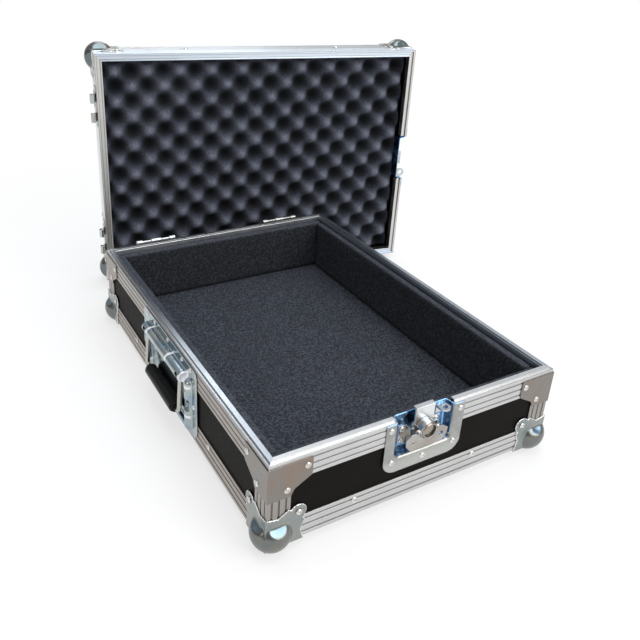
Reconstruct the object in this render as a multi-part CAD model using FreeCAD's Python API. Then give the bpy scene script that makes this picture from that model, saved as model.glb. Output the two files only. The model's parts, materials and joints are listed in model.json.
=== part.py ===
import FreeCAD, Part
import math
import os

from FreeCAD import Matrix, Placement, Rotation, Vector

# Aluminium flight case with a lift-off lid. Millimetres, +Z up.
# The base stands on its four ball corners with the latch side facing -Y and
# the handle side facing -X. The lid has been lifted off and stands on its long
# edge behind the base, open side to the front, turned a little.
# Base and lid are both trays. A tray is drawn in a frame of its own: X across
# its width, Y along its length, Z from the closed panel up to the rim, and the
# origin at the outer corner of the edge angles by the latch side. A side has a
# frame too: X along the side as seen from outside, Y inwards, Z as in the tray.

# The case
CASE_WIDTH = 400.0
CASE_LENGTH = 560.0
BASE_HEIGHT = 111.0
LID_HEIGHT = 60.0
FOOTPRINT_X = -88.6          # middle of the base
FOOTPRINT_Y = -75.0
LID_GAP = 93.0               # from the base's back to the lid's left end
LID_SHIFT = 25.0             # from the base's left side to the lid's left end
LID_TURN = 10.0              # degrees
OVERRUN = 5.0                # how far a cutter runs past the face it cuts
FIT = 0.3                    # loose clearance between soft or stamped pieces

# Panels, edge angles and corner posts
PANEL = 7.0
SKIN = 1.6
ANGLE_LEG = 30.0
POST_LEG = 28.0
RIB_DEPTH = 0.5
RIB_SHARES = ((0.16, 0.24), (0.46, 0.54), (0.76, 0.84))

# Closing frame
RIM_LEG = 28.0
RIM_INNER_LEG = 14.0
RIM_WEB = 2.2
LEDGE = 3.4
TONGUE_WIDTH = 6.2
TONGUE = 2.5
TONGUE_PLAY = 0.3
TONGUE_DEPTH_PLAY = 0.5
LID_LIP = 1.5
LID_LIP_HEIGHT = 4.0

# Ball corners
BALL_RADIUS = 23.5
BALL_INSET = 12.0
BALL_FLAT = 0.5
PLATE = 1.5
PLATE_REACH = 47.0
PLATE_LOBE_RADIUS = 9.0
PLATE_EDGE = 41.0            # reach of a plate along the case's sharp edge
PLATE_DIP = 39.0
PLATE_DIP_AT = 14.0
PLATE_SHOULDER = 25.0
SCOOP_RADIUS = 7.0
SCOOP_NEAR = 4.0             # the scoop's two ends, along the case's face
SCOOP_FAR = 24.0
SCOOP_UP = 20.0
SCOOP_RISE = 4.0

# Corner braces
BRACE = 1.2
BRACE_WIDE = 52.0
BRACE_NARROW = 27.0
BRACE_SHOULDER = 31.0
BRACE_TOP_DROP = 4.0         # all drops are below the rim's ledge
BRACE_FLANK_DROP = 27.0
BRACE_SHOULDER_DROP = 39.0
BRACE_LOW_DROP = 47.5
BRACE_RIVET_SHARES = ((0.88, 0.28), (0.43, 0.79))

# Rivets
RIVET_RADIUS = 4.0
RIVET_TOP_RADIUS = 2.4
RIVET_HEIGHT = 1.8
HEAD_SIDES = 8
RAIL_RIVET_LIFT_SHARE = 0.75
SHORT_RAIL_RIVET_SHARES = (0.275, 0.705)
LONG_RAIL_RIVET_SHARES = (0.25, 0.73)

# Linings and egg-crate foam
WALL_LINING = 14.0
FLOOR_LINING = 12.0
LINING_DROP = 6.0
FOAM_EDGE_GAP = 1.5
FOAM_BASE = 16.0
FOAM_DROP = 8.0
FOAM_PITCH_ALONG = 52.9
FOAM_PITCH_ACROSS = 49.8
FOAM_START_ACROSS = 21.4

# Lift-off hinges
HINGE_INSET = 84.5           # from the case's side to a hinge's middle
HINGE_END = 9.5
HINGE_GAP = 15.0
HINGE_MIDDLE = 16.0
HINGE_OUT = 7.0
HINGE_METAL = 1.6
HINGE_LOW_DROP = 25.0
HINGE_BEND_DROP = 8.0
HINGE_RIVET_DROP = 17.0
HINGE_RIVET_AT = 22.0
KNUCKLE_RADIUS = 3.8
HINGE_PIN_RADIUS = 2.0
HINGE_PIN_PLAY = 0.05
HOOK_SIDE_PLAY = 0.5
HOOK_RADIUS = 4.2
HOOK_PLAY = 0.35

# Latch dish and keeper dish
DISH_WIDTH = 112.0
DISH_METAL = 1.3
DISH_OPENING = 80.0
DISH_RECESS = 12.0
DISH_DRAFT = 3.0
LATCH_RADIUS = 18.0
DISH_INNER_RADIUS = 7.0
DISH_SLIT = 0.5              # clearance round a dish in the panel and the rim
DISH_RIVET_SHARES = ((-0.4375, 0.116), (0.4375, 0.116), (-0.397, 0.775), (0.397, 0.775), (0.0, 0.848))
LATCH_DEPTH = 69.0
LATCH_OPENING_DEPTH = 49.0
KEEPER_DEPTH = 46.0
KEEPER_OPENING_DEPTH = 27.0
KEEPER_RADIUS = 13.0
KEEPER_RIVET_SHARES = ((-0.4375, 0.17), (0.4375, 0.17), (-0.4, 0.75), (0.4, 0.75), (0.0, 0.82))

# Padlock eyes
EYE_AT = 29.0
EYE_DEPTH = 4.4              # from the case's face back to the hole's middle
EYE_DROP = 3.6               # top of the base's eye below the split
EYE_RADIUS = 7.4
EYE_HOLE = 4.2
EYE_METAL = 2.0
EYE_PLAY = 0.4               # top of the lid's eye below the split
EYE_ROOT = 11.0

# Latch works
SPINDLE_DROP = 19.0
JOURNAL_RADIUS = 4.0
JOURNAL_PLAY = 0.05
BEARING_RADIUS = 8.0
BEARING_DEPTH = 1.5
CRANK_RADIUS = 6.0
CRANK_THROW = 4.0
CRANK_PLAY = 1.2
CRANK_SIDE_PLAY = 0.4
CLAW_METAL = 2.5
CLAW_FRONT = 3.0
CLAW_BODY = 32.0
CLAW_NECK = 27.0
CLAW_RISE = 8.0
CLAW_FOOT = 21.0
CLAW_SHOULDER = 7.0
CLAW_CORNER = 3.0
CLAW_LIP_METAL = 2.6
CLAW_LIP_REACH = 4.0
GUIDE_PLAY = 0.3
GUIDE_WALL = 3.0
GUIDE_LEDGE = 3.5
GUIDE_HOLD = 2.0
GUIDE_LIP = 1.0
GUIDE_FOOT = 10.0
GUIDE_FOOT_METAL = 1.5
GUIDE_TOP_DROP = 17.0
GUIDE_LOW_DROP = 43.0
COLLAR_RADIUS = 12.0
COLLAR_FRONT = -1.5
NOSE_RADIUS = 11.0
NOSE_FRONT = -7.4
NOSE_CHAMFER = 1.2
SPINDLE_GAP = 0.4
SPINDLE_HEAD = 1.2

# Latch wing
WING_METAL = 1.6
WING_PLANE = -4.6
WING_HALF = 30.3
WING_LOW = 26.5
WING_LOW_HALF = 18.5
WING_SIDE_LOW = 8.5
WING_SIDE_TOP = 1.5
WING_TOP = 3.0
WING_TOP_HALF = 27.0
WING_KNUCKLE_HALF = 15.0
WING_KNUCKLE_RADIUS = 2.6
WING_NOTCH_HALF = 11.5
WING_NOTCH_LOW = 11.6
WING_CORNER = 3.0
WING_HOLE = 2.6
WING_HOLE_AT = 20.4
WING_HOLE_LOW = 12.5
WING_PIN_RADIUS = 1.5
WING_PIN_PLAY = 0.05

# Keeper on the lid
KEEPER_BAR_WIDTH = 24.0
KEEPER_BAR_METAL = 2.2
KEEPER_BAR_DROP = 3.0
KEEPER_BAR_FRONT = 6.0
KEEPER_FOOT = 14.0
KEEPER_FOOT_METAL = 2.0

# Handle
HANDLE_WIDTH = 192.0
HANDLE_LOW = 5.0
HANDLE_DROP = 4.0            # top of the plate below the rim's ledge
HANDLE_METAL = 1.5
HANDLE_TOP_RADIUS = 9.0
HANDLE_LOW_RADIUS = 16.0
BEAD_DROP = 19.0
BEAD_RADIUS = 7.4
BEAD_WALL = 1.4
ROD_RADIUS = 3.2
ROD_GAP = 2.6
BAIL_OUT = 3.4
BAIL_BEND = 4.0
BAIL_GRIP_BEND = 8.0
BAIL_STUB = 26.0
SLOT_PLAY = 0.8              # round the rod where it leaves the bead
SLOT_GAP = 8.0               # from the rod's leg to the bead's end
BUSH_LENGTH = 10.0
BUSH_PLAY = 0.05
SPRING_LENGTH = 12.0
SPRING_WALL = 1.2
SPRING_PLAY = 0.3
GRIP_RADIUS = 8.6
GRIP_UP = 26.0               # middle of the grip above the plate's lower edge
GRIP_END = 4.0
GRIP_END_RADIUS = 6.5
GRIP_GAP = 10.0
SIDE_BEAD_INSET = 22.0       # from the plate's edge to the bead's middle
SIDE_BEAD_GAP = 14.0         # from the bead's middle to the rod's leg
SIDE_BEAD_RADIUS = 7.3
SIDE_BEAD_LOW = 14.0
SIDE_BEAD_DROP = 26.0
FOOT_BEAD_RADIUS = 5.0
FOOT_BEAD_UP = 9.0
WINDOW_WIDTH = 11.0
WINDOW_HEIGHT = 17.0
WINDOW_DEPTH = 6.0
WINDOW_SHARE = 0.524
KEYHOLE_RADIUS = 1.6
KEYHOLE_SHARE = 0.855
SCREW_RADIUS = 3.4
SCREW_TOP_RADIUS = 2.0
SCREW_HEIGHT = 1.6
SCREW_SHARES = ((-0.401, 0.946), (-0.26, 0.946), (0.0, 0.946), (0.26, 0.946), (0.401, 0.946),
                (-0.453, 0.475), (0.453, 0.475))

# Worked out from the sizes above
WALL = SKIN + PANEL                      # outside of the case to a panel's inner face
RIM_WIDTH = WALL + SKIN
TONGUE_END = LEDGE + TONGUE_WIDTH
GROOVE = TONGUE + TONGUE_DEPTH_PLAY
BALL_PROUD = BALL_RADIUS - BALL_INSET
FLOOR_PROUD = BALL_PROUD - BALL_FLAT
DISH_BACK = DISH_RECESS + DISH_METAL
NOTCH_HALF = DISH_OPENING / 2 + DISH_METAL + DISH_SLIT
LATCH_NOTCH_DROP = LATCH_OPENING_DEPTH + DISH_METAL + DISH_SLIT
KEEPER_NOTCH_DROP = KEEPER_OPENING_DEPTH + DISH_METAL + DISH_SLIT
CLAW_BACK = CLAW_FRONT + CLAW_METAL
SPINDLE_END = DISH_BACK + SPINDLE_GAP + SPINDLE_HEAD
HINGE_SPREAD = CASE_WIDTH / 2 - HINGE_INSET
PIVOT_OUT = HANDLE_METAL + ROD_GAP + ROD_RADIUS
BEAD_INNER = BEAD_RADIUS - BEAD_WALL
HANDLE_TOP = BASE_HEIGHT - HANDLE_DROP
HANDLE_HEIGHT = HANDLE_TOP - HANDLE_LOW
PIVOT_UP = HANDLE_TOP - BEAD_DROP
SIDE_BEAD_AT = HANDLE_WIDTH / 2 - SIDE_BEAD_INSET
BAIL_HALF = SIDE_BEAD_AT - SIDE_BEAD_GAP
BAIL_DROP = PIVOT_UP - HANDLE_LOW - GRIP_UP
SLOT_HALF = ROD_RADIUS + SLOT_PLAY
BUSH_AT = BAIL_HALF - SLOT_HALF
BEAD_HALF = BAIL_HALF + SLOT_GAP
GRIP_HALF = BAIL_HALF - GRIP_GAP - GRIP_END
HINGE_HALF = HINGE_MIDDLE / 2 + HINGE_GAP + HINGE_END
SIDES = ("front", "right", "back", "left")


# Shapes in general

def prism(points, along):
    """A solid from a closed outline, pushed along a vector."""
    wire = Part.makePolygon(points + [points[0]])
    return Part.Face(wire).extrude(along)


def box(x, y, z):
    """A box from three (low, high) pairs."""
    size = [high - low for low, high in (x, y, z)]
    return Part.makeBox(size[0], size[1], size[2], Vector(x[0], y[0], z[0]))


def rod(radius, start, end):
    """A round bar from one point to another."""
    return Part.makeCylinder(radius, (end - start).Length, start, end - start)


def taper(radius, end_radius, start, end):
    return Part.makeCone(radius, end_radius, (end - start).Length, start, end - start)


def head(middle, radius, top_radius, height):
    """A domed head that stands out towards -Y, as an eight-sided taper."""
    rings = []
    for reach, out in ((radius, 0), (top_radius, height)):
        points = []
        for index in range(HEAD_SIDES + 1):
            turn = 2 * math.pi * (index % HEAD_SIDES) / HEAD_SIDES
            points.append(middle + Vector(reach * math.cos(turn), -out, reach * math.sin(turn)))
        rings.append(Part.makePolygon(points))
    return Part.makeLoft(rings, True, True)


def capsule(radius, start, end):
    """A round bar with round ends."""
    return joined([rod(radius, start, end), Part.makeSphere(radius, start), Part.makeSphere(radius, end)])


def joined(shapes):
    return shapes[0].fuse(shapes[1:]).removeSplitter()


def group(shapes):
    return Part.Compound([solid for shape in shapes for solid in shape.Solids])


def bend(before, here, after, radius):
    """Start, crown and end of the arc that rounds a corner."""
    back = (before - here).normalize()
    onward = (after - here).normalize()
    half = back.getAngle(onward) / 2
    middle = (back + onward).normalize()
    reach = radius / math.tan(half)
    crown = here + middle * (radius / math.sin(half) - radius)
    return here + back * reach, crown, here + onward * reach


def rounded_wire(points, radii, closed):
    """Straight runs joined by tangent arcs; a radius of zero leaves a corner."""
    count = len(points)
    turns = []
    for index, (here, radius) in enumerate(zip(points, radii)):
        at_end = not closed and index in (0, count - 1)
        if radius == 0 or at_end:
            turns.append((here, None, here))
        else:
            turns.append(bend(points[index - 1], here, points[(index + 1) % count], radius))
    edges = []
    for index in range(count):
        start, crown, end = turns[index]
        if crown is not None:
            edges.append(Part.Arc(start, crown, end).toShape())
        if closed or index < count - 1:
            edges.append(Part.LineSegment(end, turns[(index + 1) % count][0]).toShape())
    return Part.Wire(edges)


def upright_wire(corners, y):
    """A closed wire through (x, z, radius) corners in the plane at y."""
    points = [Vector(x, y, z) for x, z, radius in corners]
    return rounded_wire(points, [corner[2] for corner in corners], True)


def slab(corners, y):
    """A plate between two y values, its outline given as (x, z, radius) corners."""
    return Part.Face(upright_wire(corners, y[0])).extrude(Vector(0, y[1] - y[0], 0))


# Places on a tray

def side_length(side):
    return CASE_WIDTH if side in ("front", "back") else CASE_LENGTH


def on_side(shape, side):
    """Take a shape from a side's frame to the tray's."""
    starts = (Vector(0, 0, 0), Vector(CASE_WIDTH, 0, 0),
              Vector(CASE_WIDTH, CASE_LENGTH, 0), Vector(0, CASE_LENGTH, 0))
    turns = SIDES.index(side)
    placed = shape.copy()
    placed.Placement = Placement(starts[turns], Rotation(Vector(0, 0, 1), 90 * turns))
    return placed


def round_tray(make):
    """One piece for each side, made from its length."""
    return {side: on_side(make(side_length(side)), side) for side in SIDES}


def at_corners(shape):
    """A copy of a corner piece at each of a tray's corners."""
    return group([on_side(shape, side) for side in SIDES])


def across(offset):
    """A place along the latch side, counted from its middle."""
    return CASE_WIDTH / 2 + offset


# Panels and extrusions

def floor_panel():
    return box((SKIN, CASE_WIDTH - SKIN), (SKIN, CASE_LENGTH - SKIN), (SKIN, WALL))


def side_panels(top):
    """Front and back panels run the full width; the others fit between them."""
    panels = {}
    for side in SIDES:
        margin = SKIN if side in ("front", "back") else WALL
        span = (margin, side_length(side) - margin)
        panels[side] = on_side(box(span, (SKIN, WALL), (WALL, top)), side)
    return panels


def rib_points(low, high):
    """(inset, height) points of the shallow grooves along a ribbed leg."""
    points = []
    for start_share, end_share in RIB_SHARES:
        start = low + (high - low) * start_share
        end = low + (high - low) * end_share
        points += [(0, start), (RIB_DEPTH, start), (RIB_DEPTH, end), (0, end)]
    return points


def mitred(outline, length):
    """An extrusion along X with its ends mitred, from (inset, height) points."""
    depth = max(inset for inset, height in outline)
    low = min(height for inset, height in outline)
    high = max(height for inset, height in outline)
    bar = prism([Vector(0, inset, height) for inset, height in outline], Vector(length, 0, 0))
    mitre = prism([Vector(0, 0, low), Vector(length, 0, low),
                   Vector(length - depth, depth, low), Vector(depth, depth, low)],
                  Vector(0, 0, high - low))
    return bar.common(mitre)


def base_rim(length):
    """The closing frame with the tongue."""
    top = BASE_HEIGHT
    low = top - RIM_LEG
    under = top - RIM_WEB
    inner_low = top - RIM_INNER_LEG
    hollow = top + TONGUE - RIM_WEB
    outline = [(0, low)] + rib_points(low, top) + [
        (0, top), (LEDGE, top), (LEDGE, top + TONGUE), (TONGUE_END, top + TONGUE),
        (TONGUE_END, top), (RIM_WIDTH, top), (RIM_WIDTH, inner_low), (WALL, inner_low),
        (WALL, under), (TONGUE_END - SKIN, under), (TONGUE_END - SKIN, hollow),
        (LEDGE + SKIN, hollow), (LEDGE + SKIN, under), (SKIN, under), (SKIN, low)]
    return mitred(outline, length)


def lid_rim(length):
    """The closing frame with the groove that takes the tongue."""
    top = LID_HEIGHT
    low = top - RIM_LEG
    floor = top - GROOVE
    inner_low = top - RIM_INNER_LEG
    outer_lip = LEDGE - TONGUE_PLAY
    inner_lip = TONGUE_END + TONGUE_PLAY
    lip_low = top - LID_LIP_HEIGHT
    outline = [(0, low)] + rib_points(low, top) + [
        (0, top), (outer_lip, top), (outer_lip, floor), (inner_lip, floor), (inner_lip, top),
        (inner_lip + LID_LIP, top), (inner_lip + LID_LIP, lip_low),
        (RIM_WIDTH, lip_low - LID_LIP), (RIM_WIDTH, inner_low), (WALL, inner_low),
        (WALL, floor - RIM_WEB), (SKIN, floor - RIM_WEB), (SKIN, low)]
    return mitred(outline, length)


def edge_angle(length):
    """The ribbed angle along a closed panel's edge."""
    side_ribs = rib_points(0, ANGLE_LEG)
    floor_ribs = [(height, inset) for inset, height in reversed(side_ribs)]
    outline = [(0, 0)] + side_ribs + [
        (0, ANGLE_LEG), (SKIN, ANGLE_LEG), (SKIN, SKIN), (ANGLE_LEG, SKIN),
        (ANGLE_LEG, 0)] + floor_ribs
    return mitred(outline, length)


def corner_post():
    """The ribbed angle up a corner of the base, between edge angle and rim."""
    one_face = [(along, inset) for inset, along in rib_points(0, POST_LEG)]
    other_face = [(inset, along) for along, inset in reversed(one_face)]
    outline = [(0, 0)] + one_face + [
        (POST_LEG, 0), (POST_LEG, SKIN), (SKIN, SKIN), (SKIN, POST_LEG),
        (0, POST_LEG)] + other_face
    points = [Vector(x, y, ANGLE_LEG) for x, y in outline]
    return prism(points, Vector(0, 0, BASE_HEIGHT - RIM_LEG - ANGLE_LEG))


# Corner hardware

def ball_corner():
    """A pressed ball with three riveted plates, cut flat underneath."""
    outline = [(-PLATE, -PLATE, 0), (PLATE_EDGE, -PLATE, 0), (PLATE_DIP, PLATE_DIP_AT, 0),
               (PLATE_REACH, PLATE_SHOULDER, 0), (PLATE_REACH, PLATE_REACH, PLATE_LOBE_RADIUS),
               (PLATE_SHOULDER, PLATE_REACH, 0), (PLATE_DIP_AT, PLATE_DIP, 0), (-PLATE, PLATE_EDGE, 0)]
    plate = slab(outline, (-PLATE, 0))
    plates = []
    for turn in range(3):
        turned = plate.copy()
        turned.Placement = Placement(Vector(0, 0, 0), Rotation(Vector(1, 1, 1), 120 * turn))
        plates.append(turned)
    ball = Part.makeSphere(BALL_RADIUS, Vector(BALL_INSET, BALL_INSET, BALL_INSET))
    inside = (0, BALL_RADIUS + PLATE_REACH)
    corner = joined([ball] + plates).cut(box(inside, inside, inside))
    wide = (-BALL_RADIUS, BALL_RADIUS + BALL_INSET)
    corner = corner.cut(box(wide, wide, (-BALL_RADIUS, -FLOOR_PROUD)))
    outside = (-BALL_RADIUS, -PLATE)
    corner = corner.cut(box(outside, outside, (SCOOP_UP, BALL_RADIUS + PLATE_REACH)))
    out = -SCOOP_RADIUS - PLATE
    scoop = capsule(SCOOP_RADIUS, Vector(SCOOP_NEAR, out, SCOOP_UP),
                    Vector(SCOOP_FAR, out, SCOOP_UP + SCOOP_RISE))
    return corner.cut(scoop).cut(scoop.mirror(Vector(0, 0, 0), Vector(1, -1, 0)))


def corner_brace():
    """The angle plate that ties a corner of the closing frame to its post."""
    top = BASE_HEIGHT - BRACE_TOP_DROP
    outline = [(-BRACE, top, 0), (BRACE_WIDE, top, RIVET_TOP_RADIUS),
               (BRACE_WIDE, BASE_HEIGHT - BRACE_FLANK_DROP, RIVET_RADIUS),
               (BRACE_SHOULDER, BASE_HEIGHT - BRACE_SHOULDER_DROP, RIVET_RADIUS),
               (BRACE_NARROW, BASE_HEIGHT - BRACE_LOW_DROP, RIVET_TOP_RADIUS),
               (-BRACE, BASE_HEIGHT - BRACE_LOW_DROP, 0)]
    plate = slab(outline, (-BRACE, 0))
    return joined([plate, plate.mirror(Vector(0, 0, 0), Vector(1, -1, 0))])


def rivet(x, z, face):
    """A rivet's head on an upright face."""
    return head(Vector(x, face, z), RIVET_RADIUS, RIVET_TOP_RADIUS, RIVET_HEIGHT)


def ball_rivets():
    """The rivet through each plate of one ball corner."""
    at = PLATE_REACH - PLATE_LOBE_RADIUS
    first = rivet(at, at, -PLATE)
    heads = []
    for turn in range(3):
        turned = first.copy()
        turned.Placement = Placement(Vector(0, 0, 0), Rotation(Vector(1, 1, 1), 120 * turn))
        heads.append(turned)
    return group(heads)


def brace_rivets():
    heads = []
    for along_share, drop_share in BRACE_RIVET_SHARES:
        one = rivet(BRACE_WIDE * along_share, BASE_HEIGHT - BRACE_LOW_DROP * drop_share, -BRACE)
        heads += [one, one.mirror(Vector(0, 0, 0), Vector(1, -1, 0))]
    return group(heads)


def rail_rivets():
    """The rivets along the edge angles."""
    heads = []
    for side in SIDES:
        shares = SHORT_RAIL_RIVET_SHARES if side in ("front", "back") else LONG_RAIL_RIVET_SHARES
        for share in shares:
            one = rivet(side_length(side) * share, ANGLE_LEG * RAIL_RIVET_LIFT_SHARE, 0)
            heads.append(on_side(one, side))
    return group(heads)


# Latch dish and keeper dish

def dish_outline(half, drop, top, radius):
    """A rounded pocket that is open at the top, as (x, z, radius) corners."""
    low = top - drop
    return [(across(-half), top, 0), (across(half), top, 0),
            (across(half), low, radius), (across(-half), low, radius)]


def tub(half, drop, rim_y, floor_y, top):
    """A drafted pocket; its radius grows with its size so that walls stay even."""
    radius = DISH_INNER_RADIUS + half - DISH_OPENING / 2
    mouth = dish_outline(half, drop, top, radius)
    floor = dish_outline(half - DISH_DRAFT, drop - DISH_DRAFT, top, radius)
    return Part.makeLoft([upright_wire(mouth, rim_y), upright_wire(floor, floor_y)], True, True)


def dish(height, depth, opening_depth, radius):
    """A pressed dish with a flange, open at the case's split."""
    flange = slab(dish_outline(DISH_WIDTH / 2, depth, height, radius), (-DISH_METAL, 0))
    half = DISH_OPENING / 2
    outer = tub(half + DISH_METAL, opening_depth + DISH_METAL, 0, DISH_BACK, height)
    inner = tub(half, opening_depth, -DISH_METAL, DISH_RECESS, height)
    return joined([flange, outer]).cut(inner)


def latch_dish():
    """The base's dish, set back to the panel below the rim, with the spindle's bearing."""
    seat_half = DISH_WIDTH / 2 - DISH_METAL
    seat_drop = LATCH_DEPTH - RIM_LEG - FIT - DISH_METAL
    seat_outline = dish_outline(seat_half, seat_drop, BASE_HEIGHT - RIM_LEG - FIT, LATCH_RADIUS - DISH_METAL)
    room = tub(DISH_OPENING / 2, LATCH_OPENING_DEPTH, -DISH_METAL, DISH_RECESS, BASE_HEIGHT)
    above_angle = box((0, CASE_WIDTH), (0, SKIN), (ANGLE_LEG + FIT, BASE_HEIGHT))
    seat = slab(seat_outline, (0, SKIN)).common(above_angle).cut(room)
    axis_up = BASE_HEIGHT - SPINDLE_DROP
    front = Vector(across(0), DISH_RECESS - BEARING_DEPTH, axis_up)
    middle = Vector(across(0), DISH_RECESS, axis_up)
    back = Vector(across(0), DISH_BACK, axis_up)
    pressed = dish(BASE_HEIGHT, LATCH_DEPTH, LATCH_OPENING_DEPTH, LATCH_RADIUS)
    boss = rod(BEARING_RADIUS, front, middle)
    return joined([pressed, seat, boss]).cut(rod(JOURNAL_RADIUS + JOURNAL_PLAY, front, back))


def dish_rivets(height, depth, shares):
    heads = [rivet(across(DISH_WIDTH * x_share), height - depth * drop_share, -DISH_METAL)
             for x_share, drop_share in shares]
    return group(heads)


def notch(height, drop):
    """The space that a dish takes out of the panel and the closing frame."""
    side = (across(-NOTCH_HALF), across(NOTCH_HALF))
    return box(side, (-OVERRUN, RIM_WIDTH + OVERRUN), (height - drop, height + OVERRUN))


def padlock_eye(x, top):
    """A level tab with an upright hole, bent down the floor of its dish."""
    middle = Vector(x, EYE_DEPTH, top)
    down = Vector(0, 0, -EYE_METAL)
    ring = rod(EYE_RADIUS, middle, middle + down)
    side = (x - EYE_RADIUS, x + EYE_RADIUS)
    tab = box(side, (EYE_DEPTH, DISH_RECESS), (top - EYE_METAL, top))
    foot = box(side, (DISH_RECESS - EYE_METAL, DISH_RECESS), (top - EYE_ROOT, top))
    return joined([ring, tab, foot]).cut(rod(EYE_HOLE, middle, middle + down))


# Latch works, drawn round the spindle's axis

def spindle_height(offset=0):
    return BASE_HEIGHT - SPINDLE_DROP + offset


def axis_point(y, up=0):
    return Vector(across(0), y, spindle_height(up))


def latch_spindle():
    """Nose, collar, eccentric crank, journal and riveted end, in one piece."""
    crank_front = CLAW_FRONT - SPINDLE_GAP
    crank_back = CLAW_BACK + SPINDLE_GAP
    journal_end = DISH_BACK + SPINDLE_GAP
    bevel = NOSE_FRONT + NOSE_CHAMFER
    spindle = joined([
        taper(NOSE_RADIUS - NOSE_CHAMFER, NOSE_RADIUS, axis_point(NOSE_FRONT), axis_point(bevel)),
        rod(NOSE_RADIUS, axis_point(bevel), axis_point(COLLAR_FRONT)),
        rod(COLLAR_RADIUS, axis_point(COLLAR_FRONT), axis_point(crank_front)),
        rod(CRANK_RADIUS, axis_point(crank_front, -CRANK_THROW), axis_point(crank_back, -CRANK_THROW)),
        rod(JOURNAL_RADIUS, axis_point(crank_back), axis_point(journal_end)),
        rod(CRANK_RADIUS, axis_point(journal_end), axis_point(SPINDLE_END))])
    return spindle.cut(wing_pin())


def wing_pin():
    start = Vector(across(-WING_KNUCKLE_HALF), WING_PLANE, spindle_height())
    return rod(WING_PIN_RADIUS, start, start + Vector(2 * WING_KNUCKLE_HALF, 0, 0))


def latch_wing():
    """The folding key plate, with knuckles on its pin and a notch for the nose."""
    half_outline = [
        (WING_NOTCH_HALF, -WING_NOTCH_LOW, WING_CORNER), (WING_NOTCH_HALF, WING_KNUCKLE_RADIUS, 0),
        (WING_KNUCKLE_HALF, WING_KNUCKLE_RADIUS, 0), (WING_KNUCKLE_HALF, WING_TOP, 0),
        (WING_TOP_HALF, WING_TOP, 0), (WING_HALF, WING_SIDE_TOP, 0),
        (WING_HALF, -WING_SIDE_LOW, WING_CORNER), (WING_LOW_HALF, -WING_LOW, WING_CORNER)]
    right = [(across(x), spindle_height(z), radius) for x, z, radius in half_outline]
    left = [(across(-x), spindle_height(z), radius) for x, z, radius in reversed(half_outline)]
    front = WING_PLANE - WING_METAL / 2
    back = WING_PLANE + WING_METAL / 2
    wing = slab(right + left, (front, back))
    knuckles = []
    for end in (-1, 1):
        start = Vector(across(end * WING_NOTCH_HALF), WING_PLANE, spindle_height())
        stop = Vector(across(end * WING_KNUCKLE_HALF), WING_PLANE, spindle_height())
        knuckles.append(rod(WING_KNUCKLE_RADIUS, start, stop))
    wing = joined([wing] + knuckles)
    bore_start = Vector(across(-WING_HALF), WING_PLANE, spindle_height())
    bore_end = bore_start + Vector(2 * WING_HALF, 0, 0)
    wing = wing.cut(rod(WING_PIN_RADIUS + WING_PIN_PLAY, bore_start, bore_end))
    for end in (-1, 1):
        place = Vector(across(end * WING_HOLE_AT), front - OVERRUN, spindle_height(-WING_HOLE_LOW))
        wing = wing.cut(rod(WING_HOLE, place, place + Vector(0, WING_METAL + 2 * OVERRUN, 0)))
    return wing


def latch_claw():
    """The sliding plate: a window round the crank, a neck and a hooked lip."""
    lip_top = SPINDLE_DROP + CLAW_RISE
    neck_low = CLAW_SHOULDER + CLAW_BODY / 2 - CLAW_NECK / 2
    half_outline = [(CLAW_BODY / 2, -CLAW_FOOT, CLAW_CORNER), (CLAW_BODY / 2, CLAW_SHOULDER, 0),
                    (CLAW_NECK / 2, neck_low, 0), (CLAW_NECK / 2, lip_top, 0)]
    right = [(across(x), spindle_height(z), radius) for x, z, radius in half_outline]
    left = [(across(-x), spindle_height(z), radius) for x, z, radius in reversed(half_outline)]
    plate = slab(right + left, (CLAW_FRONT, CLAW_BACK))
    neck = (across(-CLAW_NECK / 2), across(CLAW_NECK / 2))
    lip_low = spindle_height(lip_top) - CLAW_LIP_METAL
    lip = box(neck, (CLAW_FRONT, CLAW_BACK + CLAW_LIP_REACH), (lip_low, spindle_height(lip_top)))
    reach = CRANK_THROW + CRANK_RADIUS + CRANK_SIDE_PLAY
    rise = CRANK_RADIUS + CRANK_PLAY
    window = box((across(-reach), across(reach)), (CLAW_FRONT - OVERRUN, CLAW_BACK + OVERRUN),
                 (spindle_height(-CRANK_THROW - rise), spindle_height(-CRANK_THROW + rise)))
    return joined([plate, lip]).cut(window)


def latch_guides():
    """Two channels on the dish's floor that the claw slides in."""
    inner = CLAW_BODY / 2 + GUIDE_PLAY
    outer = inner + GUIDE_WALL
    lip_back = CLAW_FRONT - GUIDE_PLAY
    lip_front = lip_back - GUIDE_LIP
    ledge_front = CLAW_BACK + GUIDE_PLAY
    foot_front = DISH_RECESS - GUIDE_FOOT_METAL
    outline = [(outer + GUIDE_FOOT, DISH_RECESS), (inner - GUIDE_LEDGE, DISH_RECESS),
               (inner - GUIDE_LEDGE, ledge_front), (inner, ledge_front), (inner, lip_back),
               (inner - GUIDE_HOLD, lip_back), (inner - GUIDE_HOLD, lip_front), (outer, lip_front),
               (outer, foot_front), (outer + GUIDE_FOOT, foot_front)]
    low = BASE_HEIGHT - GUIDE_LOW_DROP
    rise = Vector(0, 0, GUIDE_LOW_DROP - GUIDE_TOP_DROP)
    return group([prism([Vector(across(end * x), y, low) for x, y in outline], rise) for end in (-1, 1)])


def guide_rivets():
    """Two rivets through the foot of each channel."""
    at = CLAW_BODY / 2 + GUIDE_PLAY + GUIDE_WALL + GUIDE_FOOT / 2
    low = BASE_HEIGHT - GUIDE_LOW_DROP
    high = BASE_HEIGHT - GUIDE_TOP_DROP
    heights = (low + GUIDE_FOOT / 2, high - GUIDE_FOOT / 2)
    return group([rivet(across(end * at), up, DISH_RECESS - GUIDE_FOOT_METAL)
                  for end in (-1, 1) for up in heights])


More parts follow.
